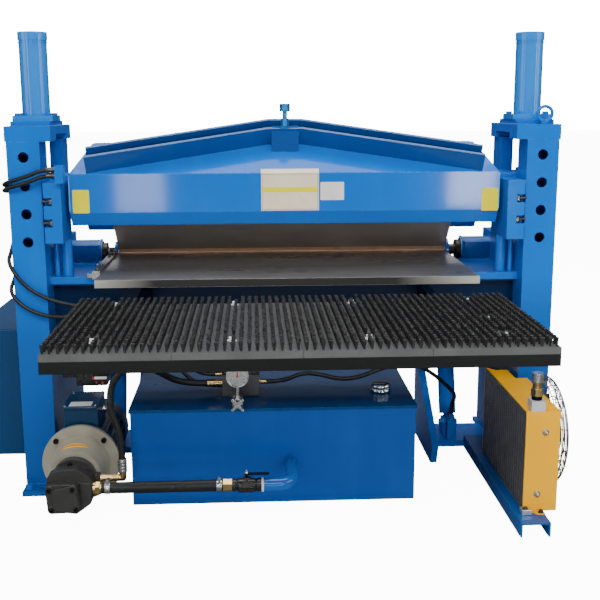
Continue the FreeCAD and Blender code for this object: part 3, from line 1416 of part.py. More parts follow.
def cooler_frame():
    """Yellow sheet around the core and in front of it, with the fan's plate on the outer side."""
    low_x, high_x = cooler_sides()
    wall = c.cooler_sheet
    core_x = low_x + c.core_width
    mid_x = core_x + wall
    fan_x = high_x - c.duct_plate
    sheets = [
        box((low_x, high_x), (COOLER_FRONT, COOLER_FRONT + wall), (COOLER_LOW, COOLER_TOP)),
        box((low_x, mid_x), (COOLER_FRONT, CORE_BACK), (COOLER_TOP - wall, COOLER_TOP)),
        box((low_x, mid_x), (CORE_BACK - wall, CORE_BACK), (COOLER_LOW, COOLER_TOP)),
        box((core_x, mid_x), (COOLER_BACK - wall, CORE_BACK), (COOLER_LOW, COOLER_TOP)),
        box((core_x, high_x), (COOLER_FRONT, COOLER_BACK), (COOLER_TOP - wall, COOLER_TOP)),
        box((core_x, high_x), (COOLER_FRONT, COOLER_BACK), (COOLER_LOW, COOLER_LOW + wall)),
        box((core_x, high_x), (COOLER_BACK - wall, COOLER_BACK), (COOLER_LOW, COOLER_TOP)),
        box((fan_x, high_x), (COOLER_FRONT, COOLER_BACK), (COOLER_LOW, COOLER_TOP)),
    ]
    return cut(fuse(*sheets), bar("x", c.duct_mouth, fan_x, high_x, (FAN_Y, FAN_Z)))


def cooler_core():
    """Finned core, which fills the cooler's inner side."""
    low_x = cooler_sides()[0]
    wall = c.cooler_sheet
    low_y = COOLER_FRONT + wall
    high_y = CORE_BACK - wall
    high_z = COOLER_TOP - wall
    edge = c.core_inset
    body = box((low_x, low_x + c.core_width), (low_y, high_y), (COOLER_LOW, high_z))
    pitch = (high_y - low_y) / c.core_fins
    slots = [
        box((low_x, low_x + c.fin_depth),
            (low_y + pitch * index + pitch / 4, low_y + pitch * index + pitch * 0.75),
            (COOLER_LOW + edge, high_z - edge))
        for index in range(int(c.core_fins.value))
    ]
    return cut(body, *slots)


def header_place():
    """Low X of the oil header and the centre of its fitting."""
    start = cooler_sides()[0] + c.header_inset
    return start, (start + c.header_width / 2, COOLER_FRONT + c.header_length / 2)


def cooler_header():
    start, _ = header_place()
    return box((start, start + c.header_width), (COOLER_FRONT, COOLER_FRONT + c.header_length),
               (COOLER_TOP, COOLER_TOP + c.header_height))


def cooler_fitting():
    """Seal ring, union nut, brass stub and hose end on the oil header."""
    middle = header_place()[1]
    low = COOLER_TOP + c.header_height
    nut_low = low + c.cooler_seal
    nut_top = nut_low + c.cooler_nut
    top = low + c.cooler_fit_height
    return [
        bar("z", c.cooler_seal_radius, low, nut_low, middle),
        fuse(hexagon("z", c.cooler_nut_radius, nut_low, nut_top, middle),
             bar("z", c.cooler_fit_radius, nut_low, top, middle)),
        bar("z", c.cooler_hose_radius, top, top + c.cooler_hose_height, middle),
    ]


def fan_guard():
    """Basket of wire rings and spokes with the fan motor in its middle."""
    high_x = cooler_sides()[1]
    centre = (FAN_Y, FAN_Z)
    wire = c.guard_wire
    wide = c.guard_radius
    hub_x = high_x + c.guard_reach
    bend = c.guard_reach / 4
    rings = [
        (wide, high_x + wire), (wide, high_x + c.guard_reach * 0.4), (wide, hub_x - bend),
        (wide * 0.88, hub_x - wire), (wide * 0.66, hub_x - wire), (wide * 0.44, hub_x - wire),
    ]
    pieces = [bar("x", c.fan_motor_radius, hub_x - c.fan_motor_length, hub_x, centre)]
    pieces += [hoop("x", radius, wire, place, centre) for radius, place in rings]
    hub = c.fan_motor_radius - wire
    half = c.spoke_half
    face = hub_x - wire
    path = [
        (face + half, hub), (face + half, wide * 0.88), (hub_x - bend, wide + half),
        (high_x, wide + half), (high_x, wide - half), (hub_x - bend - half, wide - half),
        (face - half, wide * 0.88 - half), (face - half, hub),
    ]
    for index in range(int(c.guard_spokes.value)):
        spoke = prism("y", path, -half, half)
        angle = size(360 / c.guard_spokes.value) * index
        pieces.append(turned(spoke, (1, 0, 0), angle, 0, FAN_Y, FAN_Z))
    shaft_hole = bar("x", c.fan_shaft + c.fit_gap, hub_x - c.fan_motor_length,
                     hub_x - c.fan_motor_length / 2, centre)
    return cut(fuse(*pieces), shaft_hole)


def cooler_fan():
    high_x = cooler_sides()[1]
    centre = (FAN_Y, FAN_Z)
    motor_face = high_x + c.guard_reach - c.fan_motor_length
    end = motor_face - c.slide_gap
    start = end - c.vane_width
    pieces = [
        bar("x", c.vane_hub, start, end, centre),
        bar("x", c.fan_shaft, start, motor_face + c.fan_motor_length / 4, centre),
    ]
    for index in range(int(c.vane_count.value)):
        half = c.vane_width / 2
        outline = [
            (-half, -half - c.vane_thick), (half, half - c.vane_thick), (half, half), (-half, -half),
        ]
        blade = prism("z", outline, 0, c.vane_radius)
        angle = size(360 / c.vane_count.value) * index
        pieces.append(turned(blade, (1, 0, 0), angle, start + half, FAN_Y, FAN_Z))
    return fuse(*pieces)


def cabinet_sides():
    return -OUTER - c.cabinet_width, -OUTER


def door_front():
    return DOOR_BACK - c.seat_gap - c.door_thick


def hinge_line():
    """The door's hinge stands in front of the cabinet's outer corner."""
    return (cabinet_sides()[0] - c.ear_width / 2, door_front())


def hinge_heights():
    return [c.hinge_inset, c.cabinet_height - c.hinge_inset - c.hinge_length]


def cabinet():
    """Control cabinet beside the left frame, open towards its door, with two hinge pins."""
    low_x, high_x = cabinet_sides()
    front = DOOR_BACK
    wall = c.cabinet_wall
    shell = box((low_x, high_x), (front, front + c.cabinet_depth), (0, c.cabinet_height))
    room = box(
        (low_x + wall, high_x - wall), (front, front + c.cabinet_depth - wall),
        (wall, c.cabinet_height - wall),
    )
    line = hinge_line()
    pieces = []
    for low in hinge_heights():
        top = low + c.hinge_length + c.seat_gap
        for start in (low - c.seat_gap - c.ear_height, top):
            pieces.append(box((low_x - c.ear_width, low_x), (line[1], front + c.ear_reach),
                              (start, start + c.ear_height)))
            pieces.append(bar("z", c.ear_width / 2, start, start + c.ear_height, line))
        pieces.append(bar("z", c.hinge_pin, low - c.ear_height, top + c.ear_height / 2, line))
    return fuse(cut(shell, room), *pieces)


def cabinet_door():
    """Folded door panel with two hinge barrels."""
    low_x, high_x = cabinet_sides()
    edge = c.door_edge
    back = DOOR_BACK - c.seat_gap
    front = door_front()
    skin = c.door_skin
    left = low_x + edge
    right = high_x - edge
    outer = box((left, right), (front, back), (edge, c.cabinet_height - edge))
    inner = box(
        (left + skin, right - skin), (front + skin, back), (edge + skin, c.cabinet_height - edge - skin)
    )
    line = hinge_line()
    barrels = []
    holes = [bar("y", c.lock_shaft + c.fit_gap, front, front + skin, lock_centre())]
    for low in hinge_heights():
        barrels.append(bar("z", c.hinge_radius, low, low + c.hinge_length, line))
        barrels.append(box((line[0], left + skin), (front, front + skin), (low, low + c.hinge_length)))
        holes.append(bar("z", c.hinge_pin + c.fit_gap, low, low + c.hinge_length, line))
    return cut(fuse(cut(outer, inner), *barrels), *holes)


def lock_centre():
    return (cabinet_sides()[1] - c.door_edge - c.lock_inset, c.cabinet_height / 2)


def door_lock():
    front = door_front()
    centre = lock_centre()
    cam_y = front + c.door_skin + c.slide_gap
    return fuse(
        bar("y", c.lock_radius, front - c.lock_length, front - c.seat_gap, centre),
        bar("y", c.lock_shaft, front - c.lock_length, cam_y + c.cam_thick, centre),
        box((centre[0] - c.lock_shaft, centre[0] + c.lock_shaft), (cam_y, cam_y + c.cam_thick),
            (centre[1] - c.lock_shaft, centre[1] + c.cam_length)),
    )


def hose(name, radius, points):
    """A free hose: straight runs joined by arcs as large as the runs allow."""
    spots = [FreeCAD.Vector(*point) for point in points]
    bends = []
    for before, corner, after in zip(spots, spots[1:], spots[2:]):
        first = corner - before
        last = after - corner
        shorter = min(first.Length, last.Length)
        bends.append(0.45 * shorter / math.tan(first.getAngle(last) / 2))
    solid = rounded(spots, bends, radius.value)
    length = solid.Volume / (math.pi * radius.value ** 2)
    straight = sum((last - first).Length for first, last in zip(spots, spots[1:]))
    print(f"{name}: length {length:.0f}, runs {straight:.0f}, least radius {min(bends):.0f} mm,",
          "radii", " ".join(f"{bend:.0f}" for bend in bends))
    feature = doc.addObject("Part::Feature", "Hose")
    feature.Shape = solid
    feature.Placement = FreeCAD.Placement()
    return node(name, feature)


right_frame = side_frame()
node("right_frame", right_frame)
node("left_frame", mirror(side_frame()))
node("cylinder_heads", both(cylinder_head()))
node("clamp_barrels", both(clamp_barrel()))
node("piston_rods", both(piston_rod()))
node("frame_bolts", frame_bolts())
node("lifting_eye", lifting_eye())
node("lower_beam", lower_beam())
node("bed_plate", box(
    (-BED_HALF, BED_HALF), (BED_BACK - c.bed_length, BED_BACK), (BED_BOTTOM, c.bed_height)
))
node("lower_blade", box(
    (-BED_HALF, BED_HALF), (BED_BACK, BED_BACK + c.edge_width), (BED_BOTTOM, c.bed_height + c.edge_proud)
))
node("side_gauge", side_gauge())
node("stop_posts", stop_posts())
node("upper_beam", upper_beam())
node("bow_truss", bow_truss())
node("beam_screws", beam_screws())
node("upper_blade", upper_blade())
node("guide_shoes", guide_shoes())
node("pivot_housings", both(pivot_housing()))
node("pivot_pins", both(pivot_pin()))
node("fold_beam", fold_beam())
node("fold_blade", fold_blade())
node("fold_barrels", both(fold_barrel()))
node("fold_rods", both(fold_rod()))
node("cylinder_feet", both(cylinder_foot()))
node("table_frame", table_frame())
node("brush_boards", brush_boards())
node("brush_bristles", brush_bristles())
node("table_screws", table_screws())
node("oil_tank", oil_tank())
node("tank_lid", tank_lid())
node("filler_cap", filler_cap())
node("motor_housing", motor_housing())
node("fan_cowl", fan_cowl())
node("motor_rotor", motor_rotor())
node("bell_housing", bell_housing())
node("pump_drive", pump_drive())
node("pump_body", pump_body())
node("suction_hose", suction_hose())
node("suction_valve", suction_valve())
node("valve_lever", valve_lever())
node("suction_pipe", suction_pipe())
node("hose_fittings", group(*fittings(), *frame_ports(), *cooler_fitting()))
node("valve_block", valve_block())
node("pressure_gauge", gauge_stack())
node("gauge_pointer", gauge_pointer())
node("gauge_handle", gauge_handle())
node("cooler_skid", cooler_skid())
node("cooler_frame", cooler_frame())
node("cooler_core", group(cooler_core(), cooler_header()))
node("fan_guard", fan_guard())
node("cooler_fan", cooler_fan())
node("cabinet", cabinet())
node("cabinet_door", cabinet_door())
node("door_lock", door_lock())

# Hoses: the points of each route, end to end
hose("left_upper_hose_1", c.thin_hose, [
    (-1120, -170, 1238), (-1120, -262, 1238), (-1122, -374, 1254), (-1012, -396, 1284),
    (-955, -396, 1310), (-905, -396, 1310),
])
hose("left_upper_hose_2", c.thin_hose, [
    (-1120, -135, 1258), (-1120, -250, 1258), (-1122, -374, 1277), (-1012, -396, 1308),
    (-955, -396, 1333), (-905, -396, 1333),
])
hose("left_lower_hose_1", c.thin_hose, [
    (-1120, -195, 1150), (-1120, -195, 1060), (-1121, -275, 1000), (-1117, -372, 960),
    (-1047, -376, 863), (-955, -380, 812), (-850, -385, 790), (-735, -392, 752),
    (-620, -395, 705), (-515, -393, 645), (-430, -384, 565), (-372, -350, 485), (-300, -350, 485),
])
hose("left_lower_hose_2", c.thin_hose, [
    (-1120, -150, 1045), (-1120, -150, 965), (-1121, -235, 885), (-1117, -372, 845),
    (-1060, -376, 782), (-975, -379, 745), (-880, -383, 744), (-765, -388, 728),
    (-650, -391, 688), (-545, -392, 620), (-455, -388, 535), (-378, -375, 445), (-300, -375, 445),
])
hose("pressure_hose", c.pressure_hose_radius, [
    (-638, -765, 281), (-638, -765, 375), (-684, -742, 478), (-672, -690, 578), (-590, -605, 605),
    (-520, -505, 545), (-440, -420, 468), (-330, -420, 468),
])
hose("right_hose", c.line_hose, [
    (-90, -390, 462), (-20, -390, 462), (60, -398, 500), (135, -405, 492), (215, -410, 470),
    (300, -408, 480), (385, -395, 512), (475, -360, 520), (565, -290, 490), (650, -200, 420),
    (722, -110, 345), (770, -35, 290), (790, 40, 240), (783, 75, 198), (783, 75, 154),
])

doc.recompute()
faults = [piece.Name for piece in doc.Objects if "Invalid" in piece.State or "Error" in piece.State]
for name, piece in NODES.items():
    shape = piece.Shape
    if shape.isNull() or not shape.isValid() or not shape.Solids:
        faults.append(name)
if faults:
    raise SystemExit("These pieces failed: " + ", ".join(faults))

os.makedirs("parts", exist_ok=True)
for name, piece in NODES.items():
    piece.Shape.exportStep(f"parts/{name}.step")
print(len(NODES), "pieces written")
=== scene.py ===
import json
import random
from math import cos, dist, pi, radians, sin

import bmesh
import bpy
from mathutils import Matrix, Vector


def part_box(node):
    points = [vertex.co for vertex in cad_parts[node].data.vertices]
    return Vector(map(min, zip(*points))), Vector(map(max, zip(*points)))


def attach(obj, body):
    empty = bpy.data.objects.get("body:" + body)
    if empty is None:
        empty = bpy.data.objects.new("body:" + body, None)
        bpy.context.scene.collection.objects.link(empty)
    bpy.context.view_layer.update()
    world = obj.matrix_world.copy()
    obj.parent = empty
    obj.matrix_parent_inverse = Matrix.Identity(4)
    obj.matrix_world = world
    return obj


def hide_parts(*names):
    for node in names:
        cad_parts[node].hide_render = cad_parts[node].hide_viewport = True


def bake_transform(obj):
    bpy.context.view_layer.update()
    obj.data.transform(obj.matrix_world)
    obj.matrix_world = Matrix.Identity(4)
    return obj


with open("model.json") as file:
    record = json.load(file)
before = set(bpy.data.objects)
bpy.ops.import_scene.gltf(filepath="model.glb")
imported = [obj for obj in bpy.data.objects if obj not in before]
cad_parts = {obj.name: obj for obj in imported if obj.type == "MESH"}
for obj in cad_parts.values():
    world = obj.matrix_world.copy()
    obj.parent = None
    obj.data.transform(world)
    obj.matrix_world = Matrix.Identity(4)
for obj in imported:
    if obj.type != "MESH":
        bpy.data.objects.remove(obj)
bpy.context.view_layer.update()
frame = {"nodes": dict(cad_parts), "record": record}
nodes = frame["nodes"]
dice = random.Random(7)

# Surroundings, in the renderer's own units
BACKDROP = 22.0
AMBIENT = 0.1
HALL_LOW = 0.03
HALL_HIGH = 0.5
FLOOR_GLOW = 12.0

# Lamps: name, place, target, width, height and power
LAMPS = (
    ("roof", (0.0, 0.5, 4.6), (0, 0.3, 0.6), 4.5, 2.6, 190),
    ("key", (0.2, -4.9, 4.2), (0, -0.3, 0.9), 4.5, 1.6, 300),
    ("fill", (0.3, -6.0, 0.22), (0, -0.3, 0.45), 4.0, 0.36, 26),
    ("left_side", (-4.6, -2.0, 2.4), (-0.4, 0, 0.8), 2.0, 2.0, 32),
    ("right_side", (4.6, -1.6, 2.4), (0.4, 0, 0.8), 2.0, 2.0, 32),
    ("back", (0.0, 4.5, 3.2), (0, 0, 0.8), 4.0, 2.0, 40),
    ("strip_left", (-3.2, -3.4, 2.6), (0, -0.2, 1.5), 0.35, 2.4, 20),
    ("strip_right", (3.6, -2.6, 2.6), (0, -0.2, 1.5), 0.35, 2.4, 20),
    ("left_door", (-0.93, -3.3, 1.00), (-0.558, -0.31, 1.2), 0.34, 0.34, 6.5),
    ("right_door", (1.45, -3.3, 1.03), (0.87, -0.31, 1.2), 0.34, 0.34, 12.35),
)

# Camera, solved from the photograph: metres, degrees, and the lens in millimetres
CAMERA_PLACE = (-0.14, -4.2, 1.57)
PAN, TILT, ROLL = -2.85, -11.38, -0.19
LENS = 57.54

# Places that several pieces share, in the two coordinates across their axis
MOTOR_AXIS = (-0.818, 0.212)
SUCTION_LINE = (-0.806, 0.182)
VALVE_STEM = (-0.173, -0.806)
GUARD_CENTRE = (-0.5925, 0.302)
PIVOT = (0.184, 0.924)


# Camera, light, floor

def show(thing):
    """Puts an object into the scene."""
    bpy.context.scene.collection.objects.link(thing)


def place_camera():
    data = bpy.data.cameras.new("view")
    data.sensor_width = 36
    data.lens = LENS
    camera = bpy.data.objects.new("view", data)
    show(camera)
    turn = (Matrix.Rotation(radians(PAN), 4, "Z")
            @ Matrix.Rotation(radians(90 + TILT), 4, "X")
            @ Matrix.Rotation(radians(ROLL), 4, "Z"))
    camera.matrix_world = Matrix.Translation(CAMERA_PLACE) @ turn
    bpy.context.scene.camera = camera


def area_light(name, place, target, width, height, power):
    data = bpy.data.lights.new(name, "AREA")
    data.shape = "RECTANGLE"
    data.size = width
    data.size_y = height
    data.energy = power
    lamp = bpy.data.objects.new(name, data)
    show(lamp)
    aim = Vector(target) - Vector(place)
    lamp.rotation_euler = aim.to_track_quat("-Z", "Y").to_euler()
    lamp.location = place
    lamp.visible_camera = False


def map_range(tree, source, low, high, first, last):
    """Turns values from low to high into values from first to last."""
    node = tree.nodes.new("ShaderNodeMapRange")
    sockets = ("From Min", "From Max", "To Min", "To Max")
    for socket, value in zip(sockets, (low, high, first, last)):
        node.inputs[socket].default_value = value
    tree.links.new(source, node.inputs["Value"])
    return node.outputs["Result"]


def studio_world():
    """White backdrop; gentle light on the object and a darker hall in its reflections."""
    world = bpy.data.worlds.new("studio")
    world.use_nodes = True
    tree = world.node_tree
    tree.nodes.clear()
    output = tree.nodes.new("ShaderNodeOutputWorld")
    rays = tree.nodes.new("ShaderNodeLightPath")
    place = tree.nodes.new("ShaderNodeTexCoord")
    split = tree.nodes.new("ShaderNodeSeparateXYZ")
    ambient, hall, backdrop = [tree.nodes.new("ShaderNodeBackground") for _ in range(3)]
    ambient.inputs["Strength"].default_value = AMBIENT
    backdrop.inputs["Strength"].default_value = BACKDROP
    tree.links.new(place.outputs["Generated"], split.inputs["Vector"])
    rise = map_range(tree, split.outputs["Z"], -0.05, 0.9, HALL_LOW, HALL_HIGH)
    tree.links.new(rise, hall.inputs["Strength"])
    shader = ambient.outputs["Background"]
    for socket, sky in (("Is Glossy Ray", hall), ("Is Camera Ray", backdrop)):
        mix = tree.nodes.new("ShaderNodeMixShader")
        tree.links.new(rays.outputs[socket], mix.inputs["Fac"])
        tree.links.new(shader, mix.inputs[1])
        tree.links.new(sky.outputs["Background"], mix.inputs[2])
        shader = mix.outputs["Shader"]
    tree.links.new(shader, output.inputs["Surface"])
    bpy.context.scene.world = world


def studio_floor():
    mesh = bpy.data.meshes.new("floor")
    mesh.from_pydata([(-40, -20, 0), (40, -20, 0), (40, 60, 0), (-40, 60, 0)], [], [(0, 1, 2, 3)])
    floor = bpy.data.objects.new("floor", mesh)
    show(floor)
    finish = Finish("floor_white", (0.8, 0.8, 0.8), 0.0, 0.7)
    finish.bump(40, 0.02)
    rays = finish.add("LightPath")
    finish.tint(rays.outputs["Is Glossy Ray"], (0.1, 0.11, 0.1))
    finish.shader.inputs["Emission Color"].default_value = (1, 1, 1, 1)
    finish.link(finish.ramp(rays.outputs["Is Camera Ray"], 0, 1, 0, FLOOR_GLOW),
                finish.shader.inputs["Emission Strength"])
    floor.data.materials.append(finish.material)


def studio():
    studio_world()
    studio_floor()
    for lamp in LAMPS:
        area_light(*lamp)


# Materials

class Finish:
    """A procedural material that is built up from a base colour, metal share and roughness."""

    def __init__(self, name, colour, metal, rough, coat=0.0, shine=0.5, haze=0.06):
        self.material = bpy.data.materials.new(name)
        self.material.use_nodes = True
        self.tree = self.material.node_tree
        self.shader = self.tree.nodes["Principled BSDF"]
        self.colour = (*colour, 1)
        for socket, value in (
                ("Base Color", self.colour), ("Metallic", metal), ("Roughness", rough),
                ("Specular IOR Level", shine), ("Coat Weight", coat), ("Coat Roughness", haze)):
            self.shader.inputs[socket].default_value = value
        self.place = self.add("TexCoord")
        self.colour_out = None
        self.normal_out = None

    def add(self, kind, **values):
        node = self.tree.nodes.new("ShaderNode" + kind)
        for key, value in values.items():
            setattr(node, key, value)
        return node

    def link(self, start, end):
        self.tree.links.new(start, end)

    def scaled(self, scale):
        mapping = self.add("Mapping")
        if not hasattr(scale, "__len__"):
            scale = (scale, scale, scale)
        mapping.inputs["Scale"].default_value = scale
        self.link(self.place.outputs["Object"], mapping.inputs["Vector"])
        return mapping.outputs["Vector"]

    def noise(self, scale, detail=3.0):
        node = self.add("TexNoise")
        node.inputs["Scale"].default_value = 1
        node.inputs["Detail"].default_value = detail
        self.link(self.scaled(scale), node.inputs["Vector"])
        return node.outputs["Fac"]

    def ramp(self, source, low, high, first=0.0, last=1.0):
        return map_range(self.tree, source, low, high, first, last)

    def along(self, axis, low, high):
        """A mask from the place on the machine: 0 below low, 1 above high."""
        split = self.add("SeparateXYZ")
        self.link(self.place.outputs["Object"], split.inputs["Vector"])
        return self.ramp(split.outputs[axis], low, high)

    def multiply(self, first, second):
        node = self.add("Math", operation="MULTIPLY")
        self.link(first, node.inputs[0])
        self.link(second, node.inputs[1])
        return node.outputs[0]

    def tint(self, mask, colour):
        """Blends a colour in where the mask is 1."""
        node = self.add("Mix", data_type="RGBA")
        self.link(mask, node.inputs["Factor"])
        if self.colour_out is None:
            node.inputs["A"].default_value = self.colour
        else:
            self.link(self.colour_out, node.inputs["A"])
        node.inputs["B"].default_value = (*colour, 1)
        self.colour_out = node.outputs["Result"]
        self.link(self.colour_out, self.shader.inputs["Base Color"])

    def stain(self, source, low, high, share, colour):
        """Blends a share of a colour in where the source rises from low to high."""
        self.tint(self.ramp(source, low, high, 0, share), colour)

    def vary_rough(self, source, first, last):
        self.link(self.ramp(source, 0.3, 0.7, first, last), self.shader.inputs["Roughness"])

    def bump(self, scale, strength, distance=0.001, detail=3.0):
        self.bump_from(self.noise(scale, detail), strength, distance)

    def bump_from(self, source, strength, distance=0.001):
        node = self.add("Bump")
        node.inputs["Strength"].default_value = strength
        node.inputs["Distance"].default_value = distance
        self.link(source, node.inputs["Height"])
        if self.normal_out is not None:
            self.link(self.normal_out, node.inputs["Normal"])
        self.normal_out = node.outputs["Normal"]
        self.link(self.normal_out, self.shader.inputs["Normal"])

    def soft_edges(self, radius):
        """Rounded edges in the shading; also gives a mask that is 1 along edges."""
        node = self.add("Bevel", samples=6)
        node.inputs["Radius"].default_value = radius
        self.normal_out = node.outputs["Normal"]
        self.link(self.normal_out, self.shader.inputs["Normal"])
        shape = self.add("NewGeometry")
        dot = self.add("VectorMath", operation="DOT_PRODUCT")
        self.link(node.outputs["Normal"], dot.inputs[0])
        self.link(shape.outputs["Normal"], dot.inputs[1])
        return self.ramp(dot.outputs["Value"], 0.995, 0.86)


def shade(colour, factor, lift=0.0):
    """A colour made darker or brighter, up to white."""
    return [min(1, value * factor + lift) for value in colour]


def paint(name, colour, edge, rough, radius, coat, wear=0.5, shine=0.5):
    """Sprayed paint: orange peel, slight fading, thin worn edges and light dust."""
    made = Finish(name, colour, 0.0, rough, coat, shine)
    edges = made.soft_edges(radius)
    broad = made.noise(2.2)
    made.stain(broad, 0.35, 0.7, 0.35, shade(colour, 0.72))
    fine = made.noise(55, 4)
    worn = made.multiply(edges, made.ramp(fine, 0.45, 0.62))
    made.stain(worn, 0, 1, wear, edge)
    specks = made.noise(260, 2)
    made.stain(specks, 0.7, 0.78, 0.12, shade(colour, 1, 0.35))
    made.vary_rough(broad, rough * 0.8, rough * 1.35)
    made.bump(190, 0.1, 0.0006, 2)
    made.bump(14, 0.1, 0.004, 1)
    return made.material


def metal(name, colour, rough, stretch=60, radius=0.0012, scratch=0.12):
    """Bare metal: fine lines along one direction or even grain, stains, and a painted highlight
    that brightens the edges.
    """
    made = Finish(name, colour, 1.0, rough)
    edges = made.soft_edges(radius)
    lines = made.noise(stretch, 4)
    made.stain(lines, 0.35, 0.7, 0.55, shade(colour, 0.62))
    stains = made.noise(7, 4)
    made.stain(stains, 0.5, 0.75, 0.4, shade(colour, 0.7))
    # Painted highlight: the edges are brightened
    made.stain(edges, 0, 1, 0.5, shade(colour, 1.5, 0.05))
    made.vary_rough(lines, rough * 0.8, rough * 1.3)
    made.bump_from(lines, scratch, 0.0005)
    return made.material


def plastic(name, colour, rough, grain=420, strength=0.15, shine=0.5):
    """Moulded or rolled plastic and rubber: fine grain, paler clouds and dust."""
    made = Finish(name, colour, 0.0, rough, shine=shine)
    made.soft_edges(0.001)
    cloud = made.noise(12, 3)
    made.stain(cloud, 0.35, 0.7, 0.4, shade(colour, 1.5, 0.01))
    dust = made.noise(90, 3)
    made.stain(dust, 0.6, 0.8, 0.08, (0.4, 0.4, 0.38))
    made.vary_rough(dust, rough * 0.8, min(1, rough * 1.25))
    made.bump(grain, strength, 0.0004, 2)
    return made.material


def cast(name, colour, rough):
    """Sand-cast surface under thin paint."""
    made = Finish(name, colour, 0.0, rough, 0.15)
    edges = made.soft_edges(0.002)
    cloud = made.noise(18, 4)
    made.stain(cloud, 0.35, 0.7, 0.5, shade(colour, 0.66))
    # Painted highlight: the edges are lightened
    made.stain(edges, 0, 1, 0.3, shade(colour, 1.3))
    grit = made.noise(330, 4)
    made.vary_rough(grit, rough * 0.8, min(1, rough * 1.25))
    made.bump_from(grit, 0.5, 0.001)
    made.bump(60, 0.3, 0.002)
    return made.material


BLUE = (0.0012, 0.128, 0.55)
WORN_BLUE = (0.04, 0.14, 0.26)
# Cabinet blue is a darkened copy of the machine blue: painted shade
CABINET_SHADED_BLUE = (0.004, 0.05, 0.155)
# Painted shade: the frames darken low down under the brush table, and the lower beam goes nearly
# black under the bed
FRAME_PAINTED_SHADE = (0.6, 0.88, 0.62, 0.45)
BEAM_PAINTED_SHADE = (0.97, 0.852, 0.84, 0.06)


def blue_paint(name, radius=0.003, colour=BLUE, coat=0.38, haze=0.06, painted_shade=None):
    """Gloss machine paint with brighter runs; the optional painted shade darkens it towards the
    bottom, given as a share, its high and low Z and a depth.
    """
    made = Finish(name, colour, 0.0, 0.34, coat, 0.05, haze)
    edges = made.soft_edges(radius) if radius else None
    broad = made.noise(2.2)
    made.stain(broad, 0.35, 0.7, 0.4, shade(colour, 0.75))
    streaks = made.noise((9, 9, 1.4), 4)
    made.stain(streaks, 0.5, 0.8, 0.3,
               (colour[0] + 0.006, colour[1] * 1.4, min(0.72, colour[2] * 1.16)))
    # Painted shade: the paint darkens below the given height
    if painted_shade:
        share, high, low, depth = painted_shade
        made.stain(made.along("Z", high, low), 0, 1, share, shade(colour, depth))
    if radius:
        fine = made.noise(55, 4)
        worn = made.multiply(edges, made.ramp(fine, 0.42, 0.62))
        made.stain(worn, 0, 1, 0.55, (0.1, 0.36, 0.68))
    specks = made.noise(260, 2)
    made.stain(specks, 0.7, 0.78, 0.1, (0.18, 0.38, 0.62))
    made.vary_rough(broad, 0.22, 0.42)
    made.bump(190, 0.1, 0.0006, 2)
    made.bump(14, 0.14, 0.004, 1)
    made.bump((4, 4, 9), 0.12, 0.006, 2)
    return made.material


def highlight_paint(name):
    """Paler, glossier blue on narrow round forms: a painted highlight."""
    return blue_paint(name, 0.0, (0.1, 0.34, 0.66), 0.8, 0.12)


def screw_paint():
    """The crown screw is painted over; the shoe screws further down are bare and dark."""
    made = Finish("screw_paint", (0.045, 0.04, 0.036), 0.6, 0.38)
    made.soft_edges(0.0012)
    wear = made.noise(70, 4)
    made.stain(wear, 0.45, 0.7, 0.5, (0.16, 0.13, 0.1))
    made.tint(made.along("Z", 1.4, 1.401), (0.02, 0.21, 0.56))
    made.vary_rough(wear, 0.26, 0.48)
    made.bump(160, 0.15, 0.0005, 2)
    return made.material


def blade_steel():
    """Hot-rolled bending blade: brown-grey with soft clouds, and a coppery ground tip."""
    made = Finish("blade_steel", (0.4, 0.355, 0.318), 0.5, 0.4)
    made.soft_edges(0.001)
    clouds = made.noise((2.4, 4, 7), 5)
    made.stain(clouds, 0.35, 0.72, 0.75, (0.23, 0.203, 0.182))
    runs = made.noise((3, 50, 90), 4)
    made.stain(runs, 0.45, 0.75, 0.35, (0.36, 0.31, 0.27))
    tip = made.along("Z", 0.9385, 0.9365)
    made.tint(tip, (0.85, 0.66, 0.48))
    rust = made.multiply(made.noise((18, 18, 60), 4), tip)
    made.stain(rust, 0.55, 0.75, 0.6, (0.48, 0.24, 0.13))
    made.vary_rough(clouds, 0.28, 0.5)
    made.bump_from(runs, 0.1, 0.0005)
    return made.material


def bed_steel():
    """Ground bed plate: long fine grinding lines, smudges of oil, a dark front face with paler
    ends, and a painted highlight along the edges.
    """
    made = Finish("bed_steel", (0.46, 0.46, 0.455), 0.92, 0.3, shine=0.1)
    edges = made.soft_edges(0.0016)
    lines = made.noise((2.5, 220, 220), 5)
    made.stain(lines, 0.38, 0.66, 0.45, (0.29, 0.29, 0.285))
    smears = made.noise((1.6, 7, 7), 4)
    made.stain(smears, 0.42, 0.72, 0.55, (0.235, 0.23, 0.225))
    front = made.along("Y", -0.5322, -0.5328)
    made.tint(front, (0.03, 0.029, 0.028))
    for inner, outer in ((0.42, 0.74), (-0.52, -0.76)):
        made.tint(made.multiply(made.along("X", inner, outer), front), (0.36, 0.36, 0.31))
    made.link(made.ramp(front, 0, 1, 0.92, 0.15), made.shader.inputs["Metallic"])
    # Painted highlight: a pale line along the edges
    made.tint(edges, (0.62, 0.62, 0.62))
    made.vary_rough(smears, 0.22, 0.42)
    made.bump_from(lines, 0.1, 0.0004)
    return made.material


def fitting_brass():
    """Brass fittings; the one on the cooler has a bright steel top and a black collar."""
    made = Finish("fitting_brass", (0.62, 0.43, 0.17), 1.0, 0.28)
    made.soft_edges(0.0012)
    cooler = made.along("X", 0.8, 0.81)
    made.tint(made.multiply(cooler, made.along("Z", 0.5605, 0.5615)), (0.72, 0.71, 0.68))
    made.tint(made.multiply(cooler, made.along("Z", 0.5065, 0.5055)), (0.02, 0.02, 0.02))
    turned = made.noise(60, 4)
    made.vary_rough(turned, 0.2, 0.38)
    made.bump_from(turned, 0.12, 0.0005)
    return made.material


